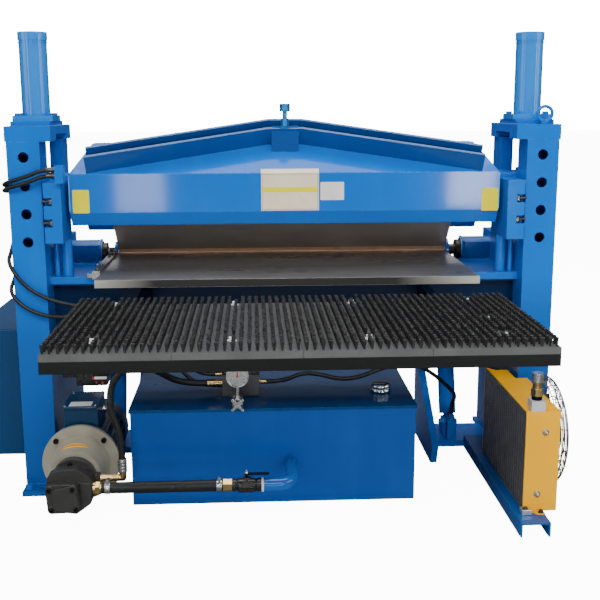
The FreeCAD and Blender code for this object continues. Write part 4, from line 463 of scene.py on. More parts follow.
def strip_steel():
    """Ground edge strips beside the bend line, in a warm colour that is a painted reflection of the
    blade.
    """
    made = Finish("strip_steel", (0.85, 0.64, 0.48), 0.5, 0.45)
    made.soft_edges(0.001)
    lines = made.noise((5, 160, 160), 4)
    made.stain(lines, 0.4, 0.66, 0.5, (0.52, 0.37, 0.27))
    made.vary_rough(lines, 0.34, 0.5)
    made.bump_from(lines, 0.08, 0.0004)
    return made.material


def core_metal():
    """Black-enamelled fins with a fine woven shine; the header block on top is bare metal."""
    made = Finish("core_metal", (0.105, 0.104, 0.102), 0.3, 0.5)
    fins = made.noise((3, 900, 5), 1)
    rows = made.add("TexWave", wave_type="BANDS", bands_direction="Z")
    rows.inputs["Scale"].default_value = 1
    rows.inputs["Distortion"].default_value = 0.6
    made.link(made.scaled((1, 1, 34)), rows.inputs["Vector"])
    made.stain(rows.outputs["Fac"], 0.55, 0.95, 0.55, (0.24, 0.24, 0.245))
    made.stain(fins, 0.5, 0.75, 0.45, (0.17, 0.17, 0.172))
    made.tint(made.along("Z", 0.4495, 0.4505), (0.56, 0.57, 0.59))
    dust = made.noise(60, 3)
    made.vary_rough(dust, 0.36, 0.6)
    made.bump_from(rows.outputs["Fac"], 0.3, 0.001)
    made.bump_from(fins, 0.25, 0.0006)
    return made.material


def film(name, colour, aged, shine=0.5):
    """Bare film: slight ripples, a soft sheen, faded clouds and fine dirt."""
    made = Finish(name, colour, 0.0, 0.34, shine=shine)
    cloud = made.noise(9, 3)
    made.stain(cloud, 0.4, 0.75, 0.5, aged)
    dirt = made.noise(120, 4)
    made.stain(dirt, 0.62, 0.8, 0.22, shade(colour, 0.55))
    made.vary_rough(cloud, 0.26, 0.46)
    made.bump(26, 0.22, 0.0015, 2)
    return made.material


def bristle_nylon():
    """Black nylon whose frayed ends are made paler as painted grey glints."""
    made = Finish("bristle_nylon", (0.01, 0.01, 0.011), 0.0, 0.5)
    tufts = made.noise(60, 3)
    made.stain(tufts, 0.4, 0.7, 0.5, (0.022, 0.022, 0.023))
    # Painted glints: paler grey at the tops of the tufts
    tip_glints = made.multiply(made.along("Z", 0.9125, 0.918), made.ramp(tufts, 0.38, 0.58))
    made.stain(tip_glints, 0, 1, 0.8, (0.12, 0.12, 0.12))
    made.vary_rough(tufts, 0.42, 0.62)
    made.bump(700, 0.2, 0.0003, 2)
    return made.material


looks = {name: maker(name, *facts) for name, maker, *facts in (
    ("blue_paint", blue_paint),
    ("motor_blue", paint, (0.003, 0.034, 0.095), WORN_BLUE, 0.3, 0.002, 0.3, 0.5, 0.2),
    ("yellow_paint", paint, (0.93, 0.44, 0.0), (0.95, 0.6, 0.1), 0.42, 0.0015, 0.0, 0.3, 0.03),
    ("black_paint", paint, (0.005, 0.006, 0.006), (0.05, 0.05, 0.05), 0.42, 0.002, 0.0, 0.3, 0.16),
    ("bright_steel", metal, (0.62, 0.63, 0.64), 0.26, (9, 160, 160)),
    ("zinc_steel", metal, (0.66, 0.67, 0.68), 0.26),
    ("chrome", metal, (0.8, 0.81, 0.83), 0.07, 30, 0.001, 0.02),
    ("dark_steel", metal, (0.12, 0.12, 0.125), 0.36, (40, 120, 120)),
    ("brass", metal, (0.62, 0.43, 0.17), 0.28),
    ("grey_board", plastic, (0.062, 0.063, 0.063), 0.5, 200, 0.15, 0.25),
    ("black_rubber", plastic, (0.007, 0.008, 0.009), 0.45, 300, 0.3, 0.35),
    ("cast_grey", cast, (0.33, 0.31, 0.24), 0.4),
    ("pump_grey", cast, (0.026, 0.025, 0.024), 0.42),
    ("black_plastic", plastic, (0.01, 0.01, 0.011), 0.28),
    ("dial_white", plastic, (0.62, 0.62, 0.6), 0.4, 300, 0.05),
    ("red_plastic", plastic, (0.55, 0.02, 0.015), 0.35),
    ("label_film", film, (0.74, 0.68, 0.5), (0.66, 0.56, 0.36)),
    ("yellow_film", film, (0.74, 0.67, 0.0), (0.8, 0.74, 0.01), 0.02),
)}
looks.update(dark_blade=blade_steel(), alu=core_metal(), black_bristle=bristle_nylon())
special = {
    # Painted shade: the cabinet and its door wear a darkened copy of the machine blue
    "cabinet": paint("cabinet_shade_paint", CABINET_SHADED_BLUE, WORN_BLUE, 0.34, 0.003, 0.25, shine=0.15),
    "cabinet_door": paint("door_shade_paint", CABINET_SHADED_BLUE, WORN_BLUE, 0.34, 0.003, 0.25, shine=0.15),
    "clamp_barrels": blue_paint("barrel_paint", 0.0, (0.01, 0.2, 0.64), 0.9, 0.1),
    # Painted shade low down on the frames and the lower beam
    "left_frame": blue_paint("left_frame_paint", painted_shade=FRAME_PAINTED_SHADE),
    "right_frame": blue_paint("right_frame_paint", painted_shade=FRAME_PAINTED_SHADE),
    "lower_beam": blue_paint("lower_beam_paint", painted_shade=BEAM_PAINTED_SHADE),
    # Painted highlight: the zinc screw heads in near-white diffuse plastic for their bright chrome
    # glint
    "table_screws": plastic("screw_glint_white", (0.86, 0.86, 0.84), 0.3, 300, 0.05),
    "hose_fittings": fitting_brass(),
    # Painted shade: the tank lid in a darker blue, as under the brush table
    "tank_lid": blue_paint("lid_shade_paint", 0.002, (0.001, 0.055, 0.21)),
    # Painted shade: the cooler skid in a darker blue
    "cooler_skid": blue_paint("skid_shade_paint", 0.002, (0.001, 0.075, 0.3)),
    "upper_beam": blue_paint("beam_paint", 0.009, haze=0.085),
    # Painted shade: the truss in a darker blue, its faces shaded under the top light
    "bow_truss": blue_paint("truss_shade_paint", 0.004, (0.001, 0.06, 0.26), 0.6, 0.16),
    "oil_tank": blue_paint("tank_paint", 0.003, (0.001, 0.09, 0.43)),
    "suction_pipe": blue_paint("pipe_paint", 0.0, (0.001, 0.11, 0.45), 1.0, 0.05),
    "pivot_housings": blue_paint("housing_paint", 0.004, (0.01, 0.15, 0.52), 0.9, 0.12),
    "pivot_pins": metal("pin_steel", (0.06, 0.05, 0.044), 0.45),
    "side_gauge": metal("gauge_steel", (0.42, 0.41, 0.39), 0.36, (160, 6, 160)),
    "fan_guard": metal("wire_steel", (0.34, 0.34, 0.35), 0.34),
    "beam_screws": screw_paint(),
    "bed_plate": bed_steel(),
    "lower_blade": strip_steel(),
    "fold_blade": strip_steel(),
}


def dress_cad():
    """Each CAD node takes its special finish where one is listed, else the finish of its slot in
    the record.
    """
    for entry in frame["record"]["subparts"]:
        node = nodes[entry["node"]]
        look = special.get(entry["node"]) or looks[entry["material_slot"]]
        if not node.material_slots:
            node.data.materials.append(look)
        for place in node.material_slots:
            place.material = look


# Mesh building

def around(centre, radius, count, turn=0.0):
    """Spots on a circle, in two coordinates."""
    angles = [turn + 2 * pi * step / count for step in range(count)]
    return [(centre[0] + radius * cos(angle), centre[1] + radius * sin(angle))
            for angle in angles]


def lifted(axis, place, spot):
    """A point from its place along an axis and its two other coordinates."""
    point = list(spot)
    point.insert("xyz".index(axis), place)
    return point


def circle(axis, radius, place, centre, count=64):
    """Points on a circle about an axis."""
    return [lifted(axis, place, spot) for spot in around(centre, radius, count)]


class Shape:
    """Collects mesh parts in metres and turns them into one piece."""

    def __init__(self):
        self.mesh = bmesh.new()

    def points(self, spots, faces):
        made = [self.mesh.verts.new(spot) for spot in spots]
        for face in faces:
            self.mesh.faces.new([made[index] for index in face])

    def skin(self, loops, closed=False):
        """Joins loops of vertices one after another, and shuts both ends of an open run."""
        for first, second in zip(loops, loops[1:] + loops[:1] if closed else loops[1:]):
            for step in range(len(first)):
                after = (step + 1) % len(first)
                self.mesh.faces.new((first[step], first[after], second[after], second[step]))
        if not closed:
            self.mesh.faces.new(loops[0])
            self.mesh.faces.new(loops[-1])

    def box(self, x, y, z):
        spots = [(x[i], y[j], z[k]) for i in (0, 1) for j in (0, 1) for k in (0, 1)]
        self.points(spots, [(0, 1, 3, 2), (4, 6, 7, 5), (0, 4, 5, 1), (2, 3, 7, 6), (0, 2, 6, 4),
                            (1, 5, 7, 3)])

    def rings(self, axis, centre, profile, sides=24, turn=0.0, start=0.0, way=1):
        """A turned form: profile lists (place along the axis from start, radius)."""
        self.skin([[self.mesh.verts.new(lifted(axis, start + way * place, spot))
                    for spot in around(centre, radius, sides, turn)] for place, radius in profile])

    def slab(self, axis, outline, low, high):
        """An outline of the two other coordinates, drawn out along an axis."""
        count = len(outline)
        spots = [lifted(axis, place, spot) for place in (low, high) for spot in outline]
        sides = [(i, (i + 1) % count, (i + 1) % count + count, i + count) for i in range(count)]
        self.points(spots, [tuple(range(count)), tuple(range(count, 2 * count))] + sides)

    def sweep(self, path, radius, sides=12, closed=False):
        """A round bar along a path; radius is one number or one for each point."""
        count = len(path)
        radii = radius if hasattr(radius, "__len__") else [radius] * count
        spots = [Vector(spot) for spot in path]
        across = None
        loops = []
        for index, spot in enumerate(spots):
            before = spots[index - 1] if index or closed else spot
            after = spots[(index + 1) % count] if index < count - 1 or closed else spot
            course = (after - before).normalized()
            if across is None:
                across = course.orthogonal().normalized()
            across = (across - course * across.dot(course)).normalized()
            up = course.cross(across)
            loops.append([self.mesh.verts.new(spot + (across * a + up * b) * radii[index])
                          for a, b in around((0, 0), 1, sides)])
        self.skin(loops, closed)

    def piece(self, name, slot, body="machine", look=None, smooth=True, bevel=0.0, segments=2):
        """Makes the object and says on which body it rides; the two hoses to the clamping beam ride
        on none.
        """
        bmesh.ops.recalc_face_normals(self.mesh, faces=self.mesh.faces)
        data = bpy.data.meshes.new(name)
        self.mesh.to_mesh(data)
        self.mesh.free()
        made = bpy.data.objects.new(name, data)
        show(made)
        data.materials.append(look or looks[slot])
        if smooth:
            data.shade_smooth()
            data.set_sharp_from_angle(angle=radians(40))
        if bevel:
            rounding = made.modifiers.new("rounding", "BEVEL")
            rounding.width = bevel
            rounding.segments = segments
            rounding.limit_method = "ANGLE"
        if body:
            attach(made, body)
        return made


def flat_piece(name, slot, axis, outline, low, high, body="machine", smooth=False, **more):
    """One piece that is an outline drawn out along an axis."""
    shape = Shape()
    shape.slab(axis, outline, low, high)
    shape.piece(name, slot, body, smooth=smooth, **more)


def rounded(first, second, radius):
    """Outline of a rectangle with round corners, from two (low, high) pairs."""
    outline = []
    corners = ((1, 1, 0), (0, 1, 90), (0, 0, 180), (1, 0, 270))
    for right, top, start in corners:
        centre_a = first[right] - radius * (1 if right else -1)
        centre_b = second[top] - radius * (1 if top else -1)
        for step in range(5):
            angle = radians(start + 22.5 * step)
            outline.append((centre_a + radius * cos(angle),
                            centre_b + radius * sin(angle)))
    return outline


def hull(circles, count=24):
    """Outline drawn tight round circles that are given as (first, second, radius)."""
    spots = sorted(spot for *centre, radius in circles for spot in around(centre, radius, count))

    def half(points):
        chain = []
        for spot in points:
            while len(chain) > 1:
                (ax, ay), (bx, by) = chain[-2:]
                if (bx - ax) * (spot[1] - ay) - (by - ay) * (spot[0] - ax) > 1e-9:
                    break
                chain.pop()
            chain.append(spot)
        return chain[:-1]

    return half(spots) + half(spots[::-1])


# Hoses

HOSE_ROUTES = {
    "left_upper_hose_1": (0.008, 0.417, [
        (-1.12, -0.17, 1.238), (-1.12, -0.262, 1.238), (-1.122, -0.374, 1.254),
        (-1.012, -0.396, 1.284), (-0.955, -0.396, 1.31), (-0.905, -0.396, 1.31)]),
    "left_upper_hose_2": (0.008, 0.451, [
        (-1.12, -0.135, 1.258), (-1.12, -0.25, 1.258), (-1.122, -0.374, 1.277),
        (-1.012, -0.396, 1.308), (-0.955, -0.396, 1.333), (-0.905, -0.396, 1.333)]),
    "left_lower_hose_1": (0.008, 1.26, [
        (-1.12, -0.195, 1.15), (-1.12, -0.195, 1.06), (-1.121, -0.275, 1.000),
        (-1.117, -0.372, 0.96), (-1.047, -0.376, 0.863), (-0.955, -0.38, 0.812),
        (-0.85, -0.385, 0.79), (-0.735, -0.392, 0.752), (-0.62, -0.395, 0.705),
        (-0.515, -0.393, 0.645), (-0.43, -0.384, 0.565), (-0.372, -0.35, 0.485),
        (-0.3, -0.35, 0.485)]),
    "left_lower_hose_2": (0.008, 1.271, [
        (-1.12, -0.15, 1.045), (-1.12, -0.15, 0.965), (-1.121, -0.235, 0.885),
        (-1.117, -0.372, 0.845), (-1.06, -0.376, 0.782), (-0.975, -0.379, 0.745),
        (-0.88, -0.383, 0.744), (-0.765, -0.388, 0.728), (-0.65, -0.391, 0.688),
        (-0.545, -0.392, 0.62), (-0.455, -0.388, 0.535), (-0.378, -0.375, 0.445),
        (-0.3, -0.375, 0.445)]),
    "pressure_hose": (0.013, 0.805, [
        (-0.638, -0.765, 0.281), (-0.638, -0.765, 0.375), (-0.684, -0.742, 0.478),
        (-0.672, -0.69, 0.578), (-0.59, -0.605, 0.605), (-0.52, -0.505, 0.545),
        (-0.44, -0.42, 0.468), (-0.33, -0.42, 0.468)]),
    "right_hose": (0.009, 1.275, [
        (-0.09, -0.39, 0.462), (-0.02, -0.39, 0.462), (0.06, -0.398, 0.5),
        (0.135, -0.405, 0.492), (0.215, -0.41, 0.47), (0.3, -0.408, 0.48),
        (0.385, -0.395, 0.512), (0.475, -0.36, 0.52), (0.565, -0.29, 0.49),
        (0.65, -0.2, 0.42), (0.722, -0.11, 0.345), (0.77, -0.035, 0.29),
        (0.79, 0.04, 0.24), (0.783, 0.075, 0.198), (0.783, 0.075, 0.154)]),
}

FLEXING = ("left_upper_hose_1", "left_upper_hose_2")


def route_curve(name, radius, route):
    data = bpy.data.curves.new(name, "CURVE")
    data.dimensions = "3D"
    data.resolution_u = 16
    data.bevel_depth = radius
    data.bevel_resolution = 6
    data.use_fill_caps = True
    spline = data.splines.new("NURBS")
    spline.points.add(len(route) - 1)
    for point, spot in zip(spline.points, route):
        point.co = (*spot, 1)
    spline.order_u = 3
    spline.use_endpoint_u = True
    return bpy.data.objects.new(name, data)


def route_line(name, route):
    """The points of the smooth line that a route gives."""
    carrier = route_curve(name, 0.0, route)
    show(carrier)
    line = bpy.data.meshes.new_from_object(carrier)
    spots = [vertex.co.copy() for vertex in line.vertices]
    bpy.data.meshes.remove(line)
    bpy.data.objects.remove(carrier)
    return spots


def hoses():
    """Five rigidly held hoses stay curves; the two to the clamping beam are swept as mesh tubes
    along their routes and ride on no body.
    """
    for name, (radius, length, route) in HOSE_ROUTES.items():
        facts = dict(exit=route[0], length=length, diameter=2 * radius, far_end="object",
                     stiffness="stiff", lay="hanging")
        if name in FLEXING:
            line = route_line(name + "_line", route)
            shape = Shape()
            shape.sweep(line, radius, 16)
            made = shape.piece(name + "_run", "black_rubber", None)
            facts["path"] = [tuple(spot) for spot in line]
        else:
            made = route_curve(name + "_run", radius, route)
            show(made)
            made.data.materials.append(looks["black_rubber"])
            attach(made, "machine")
        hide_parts(name)
        if name in FLEXING:
            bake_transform(made)


# Brush table; the core of a tuft is a list of (share of its height, radius)

TUFT_COLUMNS = 64
TUFT_ROWS = 26
TUFT_FIBRES = 13
TUFT_CORE = ((0.0, 0.003), (0.55, 0.0042), (0.93, 0.0062), (0.72, 0.0034))
WASHER = 0.014
SCREW_CLEAR = 0.023


def screw_spots():
    """Places of the screws that hold the boards down, from the box of their node."""
    low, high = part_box("table_screws")
    columns = [low.x + WASHER + (high.x - low.x - 2 * WASHER) * step / 3 for step in range(4)]
    rows = (low.y + WASHER, high.y - WASHER)
    return [(x, y) for x in columns for y in rows] + [(columns[-1], high.y - WASHER - 0.305)]


def tuft(shape, x, y, floor_z, height):
    """One tuft: a core that widens upwards, hollow at its crown, among loose fibres."""
    lean = (dice.uniform(-0.0011, 0.0011), dice.uniform(-0.0014, 0.0014))
    turn = dice.uniform(0, 2 * pi)
    sides = 7
    loops = []
    for share, radius in TUFT_CORE:
        loop = []
        for step in range(sides):
            angle = turn + 2 * pi * step / sides
            reach = radius * dice.uniform(0.88, 1.12)
            loop.append(shape.mesh.verts.new((
                x + lean[0] * share + reach * cos(angle),
                y + lean[1] * share + reach * 1.15 * sin(angle),
                floor_z + height * share * dice.uniform(0.97, 1.0))))
        loops.append(loop)
    shape.skin(loops)
    for _ in range(TUFT_FIBRES):
        angle = dice.uniform(0, 2 * pi)
        reach = dice.uniform(0.35, 1.0)
        top = floor_z + height * dice.uniform(0.93, 1.0)
        foot = (x + 0.0028 * reach * cos(angle), y + 0.003 * reach * sin(angle))
        tip = (x + lean[0] + 0.0074 * reach * cos(angle),
               y + lean[1] + 0.0084 * reach * sin(angle))
        spots = []
        for (px, py), z, size in ((foot, floor_z, 0.00075), (tip, top, 0.0006)):
            for corner in range(3):
                bend = angle + corner * 2.094
                spots.append((px + size * cos(bend), py + size * sin(bend), z))
        shape.points(spots, [(0, 1, 4, 3), (1, 2, 5, 4), (2, 0, 3, 5), (3, 4, 5)])


def bristles():
    """Tufts of nylon in straight columns, left out round the screws of the boards."""
    low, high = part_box("brush_bristles")
    height = high.z - low.z - 0.0002
    shape = Shape()
    spots = screw_spots()
    for column in range(TUFT_COLUMNS):
        for row in range(TUFT_ROWS):
            x = low.x + 0.0045 + (high.x - low.x - 0.009) * column / (TUFT_COLUMNS - 1)
            y = low.y + 0.006 + (high.y - low.y - 0.012) * row / (TUFT_ROWS - 1)
            if min(dist((x, y), spot) for spot in spots) > SCREW_CLEAR:
                tuft(shape, max(low.x + 0.008, min(high.x - 0.008, x)), y, low.z, height)
    made = shape.piece("bristle_tufts", "black_bristle", smooth=False)
    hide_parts("brush_bristles")


# Small pieces

def bolt(shape, axis, place, reach, centre, radius, sides=6, washer=0.0):
    """A bolt head that stands out by reach from a face at place, with an optional washer."""
    sign = 1 if reach > 0 else -1
    if washer:
        shape.rings(axis, centre, [(0, washer), (0.0022, washer), (0.0025, washer * 0.94)],
                    start=place, way=sign)
        place += sign * 0.0025
    profile = [(0, radius), (0.82, radius), (1, radius * 0.86)]
    shape.rings(axis, centre, profile, sides, 0.4, place, reach)


def socket_bolt(shape, axis, place, reach, centre, radius):
    """A round socket-head screw with its recess."""
    wall = [(0, radius), (0.9, radius), (1, radius * 0.9)]
    recess = [(1, radius * 0.52), (0.4, radius * 0.5)]
    shape.rings(axis, centre, wall + recess, 18, start=place, way=reach)


def crimped(start, count, pitch, steps, high, low):
    """Profile of crimped ribs: each is high over the first step and low over the last."""
    return [(start + index * pitch + step, radius) for index in range(count)
            for step, radius in zip((0, *steps), (high, high, low, low))]


def films():
    """Bare stickers on the face of the clamping beam, in place of the printed ones."""
    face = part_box("upper_beam")[0].y
    back, front, inked = face - 0.0001, face - 0.0006, face - 0.0007
    for name, slot, x, z, corner in (
            ("yellow_film_left", "yellow_film", (-0.858, -0.792), (1.153, 1.247), 0.006),
            ("yellow_film_right", "yellow_film", (0.8, 0.868), (1.15, 1.243), 0.006),
            ("white_film", "dial_white", (0.138, 0.234), (1.199, 1.272), 0.003)):
        flat_piece(name, slot, "y", rounded(x, z, corner), front, back, "beam")
    folded = [(back, 1.158), (back, 1.3101), (face + 0.0194, 1.3241),
              (face + 0.019, 1.3247), (inked, 1.3104), (inked, 1.158)]
    flat_piece("cream_film", "label_film", "x", folded, -0.102, 0.132, "beam")
    band = rounded((-0.096, 0.126), (1.232, 1.252), 0.002)
    flat_piece("cream_film_band", "yellow_film", "y", band, face - 0.001, inked, "beam")
    border = Shape()
    for x, z in (((-0.097, 0.127), (1.162, 1.1632)), ((-0.097, 0.127), (1.3036, 1.3048)),
                 ((-0.097, -0.0958), (1.1632, 1.3036)), ((0.1258, 0.127), (1.1632, 1.3036))):
        border.box(x, (face - 0.0009, inked), z)
    border.piece("cream_film_frame", "black_plastic", "beam", smooth=False)


def weld_bead(shape, start, end, radius=0.0035, pitch=0.006):
    """A run of overlapping weld ripples."""
    start, end = Vector(start), Vector(end)
    count = 2 * max(2, int((end - start).length / pitch))
    spots, radii = [], []
    for index in range(count + 1):
        spots.append(start.lerp(end, index / count))
        radii.append(radius * (1.0 if index % 2 else 0.78) * dice.uniform(0.92, 1.08))
    shape.sweep(spots, radii, 10)


def welds():
    """Weld runs at the ends of the clamping beam and along the foot plates."""
    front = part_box("upper_beam")[0].y + 0.002
    beads = Shape()
    for x in (-0.8705, 0.8705):
        weld_bead(beads, (x, front, 1.16), (x, front, 1.304))
    # Painted highlight: the weld runs in paler blue
    beads.piece("beam_welds", "blue_paint", "beam", highlight_paint("weld_paint"))
    feet = Shape()
    for side in (-1, 1):
        for depth in (-0.3505, 0.3505):
            weld_bead(feet, (side * 0.944, depth, 0.0215), (side * 1.096, depth, 0.0215))
    feet.piece("foot_welds", "blue_paint")


def shoe_nuts():
    """Nuts on the screws of the guide shoes, and rims at the mouths of the pivot housings."""
    nut = [(0.929, 0.015), (0.9305, 0.0172), (0.9385, 0.0172), (0.9395, 0.0155)]
    nuts = Shape()
    rims = Shape()
    for side in (-1, 1):
        for z in (1.121, 1.206):
            nuts.rings("x", (-0.363, z), nut, 6, 0.5, way=side)
        rims.sweep(circle("x", 0.05, side * 0.8235, PIVOT), 0.0032, 10, True)
    nuts.piece("shoe_nuts", "dark_steel", "beam", metal("nut_steel", (0.22, 0.17, 0.13), 0.32),
               smooth=False, bevel=0.0006)
    # Painted highlight: the housing rims in paler blue
    rims.piece("housing_rims", "blue_paint", look=highlight_paint("rim_paint"))


def gauge_clamps():
    """Screws and a clamp block on the side gauge of the bed."""
    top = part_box("side_gauge")[1].z
    x = -0.765
    steel = Shape()
    for y in (-0.359, -0.25, -0.02):
        socket_bolt(steel, "z", top, 0.0075, (x, y), 0.0075)
    bolt(steel, "z", top + 0.016, 0.009, (x, 0.071), 0.0085, washer=0.0125)
    steel.piece("gauge_screws", "dark_steel")
    flat_piece("gauge_clamp", "dark_steel", "z", rounded((-0.782, -0.748), (0.048, 0.094), 0.004),
               top + 0.0002, top + 0.016, bevel=0.0012)


def turning_mark(name, width, lift, look):
    """A curved band on the cone of the bell, wide in the middle, lift above the paint."""
    band = Shape()
    loops = []
    count = 28
    top = lift + 0.0006
    for step in range(count + 1):
        share = step / count
        angle = radians(124 - 60 * share)
        half = width * sin(pi * min(1, 0.06 + share * 0.9)) ** 0.7
        loop = []
        for side, height in ((-half, lift), (-half, top), (half, top), (half, lift)):
            place = -0.7 + side
            reach = 0.0945 + (place + 0.75) / 0.13 * 0.0177 + height
            loop.append(band.mesh.verts.new((MOTOR_AXIS[0] + reach * cos(angle), place,
                                             MOTOR_AXIS[1] + reach * sin(angle))))
        loops.append(loop)
    band.skin(loops)
    band.piece(name, "yellow_film", look=look, smooth=False)


def power_pack():
    """Screws and a mark on the bell, and bands, seals and a sleeve on the lines of the pump."""
    screws = Shape()
    for spot in around(MOTOR_AXIS, 0.13, 4, radians(45)):
        socket_bolt(screws, "y", -0.62, -0.012, spot, 0.0105)
    screws.piece("bell_screws", "black_paint")
    turning_mark("turning_mark", 0.014, 0.0002,
                 film("mark_film", (0.96, 0.7, 0.02), (0.9, 0.62, 0.1), 0.1))
    turning_mark("turning_mark_middle", 0.0065, 0.001,
                 film("mark_red", (0.85, 0.16, 0.02), (0.85, 0.3, 0.05), 0.1))
    band = [(0, 0.0214), (0, 0.0226), (0.001, 0.023), (0.019, 0.023), (0.02, 0.0226),
            (0.02, 0.0214)]
    bands = Shape()
    for start in (-0.7, -0.286):
        bands.rings("x", SUCTION_LINE, band, 40, start=start)
        bands.box((start + 0.004, start + 0.017), (-0.816, -0.794), (0.2046, 0.216))
        bands.rings("y", (start + 0.0105, 0.2115), [(-0.824, 0.0052), (-0.788, 0.0052)], 12)
    bands.piece("hose_bands", "zinc_steel")
    seals = Shape()
    for start, radius in ((-0.7415, 0.0235), (-0.1175, 0.0255)):
        seal = [(0, radius), (0.001, radius + 0.001), (0.007, radius + 0.001), (0.008, radius)]
        seals.rings("x", SUCTION_LINE, seal, 36, start=start)
    seals.piece("seal_rings", "dial_white")
    sleeve = Shape()
    ribs = crimped(0.231, 4, 0.0118, (0.008, 0.009, 0.0108), 0.0172, 0.0166)
    profile = [(0.2285, 0.0162), *ribs, (0.2795, 0.0172), (0.2805, 0.0162)]
    sleeve.rings("z", (-0.638, -0.765), profile, 32)
    sleeve.piece("pressure_sleeve", "zinc_steel")


def pump():
    """Cast pump: flange with two lugs, stepped body, square cover with four screws, two ports."""
    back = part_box("pump_body")[1].y
    flange = back - 0.03
    body = flange - 0.058
    cover = body - 0.03
    face = cover - 0.008
    shape = Shape()
    shape.slab("y", hull([(-0.818, 0.206, 0.082), (-0.829, 0.266, 0.02)], 48), flange, back)
    shape.slab("y", hull([(-0.803, 0.228, 0.03), (-0.781, 0.248, 0.012)]),
               flange - 0.006, back - 0.002)
    shape.slab("y", hull([
        (-0.888, 0.23, 0.018), (-0.868, 0.247, 0.016), (-0.803, 0.25, 0.02), (-0.762, 0.222, 0.018),
        (-0.76, 0.142, 0.014), (-0.806, 0.108, 0.014), (-0.884, 0.122, 0.016), (-0.9, 0.17, 0.012),
    ]), body, flange)
    screws = ((-0.892, 0.204), (-0.808, 0.206), (-0.797, 0.129), (-0.886, 0.126))
    shape.slab("y", hull([(x, z, 0.0165) for x, z in screws]), cover, body)
    right = [(x, z, 0.0125) for x, z in screws[1:3]]
    left = [(-0.868, 0.192, 0.014), (-0.866, 0.14, 0.014)]
    shape.slab("y", hull(right + left), face, cover)
    for x, z in screws:
        shape.rings("y", (x, z), [(cover + 0.002, 0.015), (cover - 0.006, 0.0142)], 20)
    shape.slab("z", rounded((-0.79, -0.742), (-0.842, -0.778), 0.01), 0.148, 0.216)
    shape.rings("x", SUCTION_LINE, [(-0.775, 0.03), (-0.7465, 0.03), (-0.7445, 0.028)], 36)
    shape.slab("y", rounded((-0.79, -0.7212), (0.186, 0.226), 0.008), flange + 0.001, back - 0.001)
    made = shape.piece("pump_casting", "pump_grey", bevel=0.0022, segments=3)
    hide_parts("pump_body")
    heads = Shape()
    for x, z in screws:
        socket_bolt(heads, "y", cover - 0.006, -0.0085, (x, z), 0.0088)
    socket_bolt(heads, "y", flange, -0.012, (-0.829, 0.266), 0.0105)
    socket_bolt(heads, "y", flange - 0.006, -0.01, (-0.781, 0.248), 0.0068)
    heads.piece("pump_screws", "black_paint")


def ball_valve():
    """Black ball valve: ribbed barrel between two collars, with a bright gland nut on its stem."""
    body = Shape()
    body.rings("x", SUCTION_LINE, [
        (-0.2275, 0.021), (-0.2265, 0.024), (-0.214, 0.024), (-0.212, 0.0212), (-0.208, 0.0212),
        (-0.205, 0.0262), (-0.19, 0.0267), (-0.158, 0.0267), (-0.143, 0.0258), (-0.14, 0.0222),
        (-0.136, 0.0222), (-0.134, 0.0262), (-0.1185, 0.0262)], 32)
    rib = [(-0.203, 0.0006), (-0.201, 0.0022), (-0.148, 0.0022), (-0.146, 0.0006)]
    for spot in around(SUCTION_LINE, 0.0262, 10):
        body.rings("x", spot, rib, 8)
    body.rings("z", VALVE_STEM, [(0.2, 0.015), (0.2105, 0.014), (0.2135, 0.012)], 28)
    made = body.piece("valve_barrel", "black_plastic")
    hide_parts("suction_valve")
    nut = Shape()
    nut.rings("z", VALVE_STEM, [(0.2282, 0.0085), (0.233, 0.0085), (0.2345, 0.0072)], 6)
    nut.rings("z", VALVE_STEM, [(0.2345, 0.004), (0.2395, 0.004), (0.2405, 0.003)], 16)
    nut.piece("gland_nut", "zinc_steel", "lever")


def terminal_cover():
    """Lid of the motor's terminal box, lipped all round, with a bare plate and screws."""
    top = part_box("motor_housing")[1].z
    flat_piece("terminal_cover", "motor_blue", "z",
               rounded((-0.8865, -0.7495), (-0.599, -0.3865), 0.014), top + 0.0002, top + 0.0078,
               smooth=True, bevel=0.003, segments=3)
    flat_piece("motor_plate", "dial_white", "z", rounded((-0.862, -0.776), (-0.586, -0.53), 0.003),
               top + 0.0079, top + 0.0088, bevel=0.0003)
    screws = Shape()
    for x in (-0.8765, -0.7595):
        for y in (-0.588, -0.398):
            socket_bolt(screws, "z", top + 0.0078, 0.0042, (x, y), 0.0046)
    screws.piece("terminal_screws", "zinc_steel")
    gland = Shape()
    gland.rings("x", (-0.47, 0.385), [
        (-0.7528, 0.015), (-0.7468, 0.015), (-0.7458, 0.0125), (-0.734, 0.0125), (-0.731, 0.01)])
    gland.piece("terminal_gland", "zinc_steel")


def junction_box():
    """Dark box on the inner cheek of the left frame, with a bare plate and red keys."""
    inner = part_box("left_frame")[1].x
    holder = Shape()
    holder.slab("y", rounded((-0.882, -0.752), (0.43, 0.52), 0.006), -0.3, -0.215)
    holder.slab("y", rounded((inner - 0.004, -0.88), (0.455, 0.495), 0.003), -0.262, -0.25)
    holder.piece("junction_box", "black_plastic", smooth=False, bevel=0.002)
    plate = rounded((-0.806, -0.756), (0.458, 0.481), 0.002)
    flat_piece("junction_plate", "dial_white", "y", plate, -0.3012, -0.3001)
    mark = Shape()
    mark.slab("y", rounded((-0.815, -0.8065), (0.458, 0.481), 0.001), -0.3012, -0.3001)
    for x, z in ((-0.798, 0.444), (-0.774, 0.442)):
        mark.rings("y", (x, z), [(-0.3001, 0.0042), (-0.305, 0.0042), (-0.306, 0.0034)], 20)
    mark.piece("junction_keys", "red_plastic")


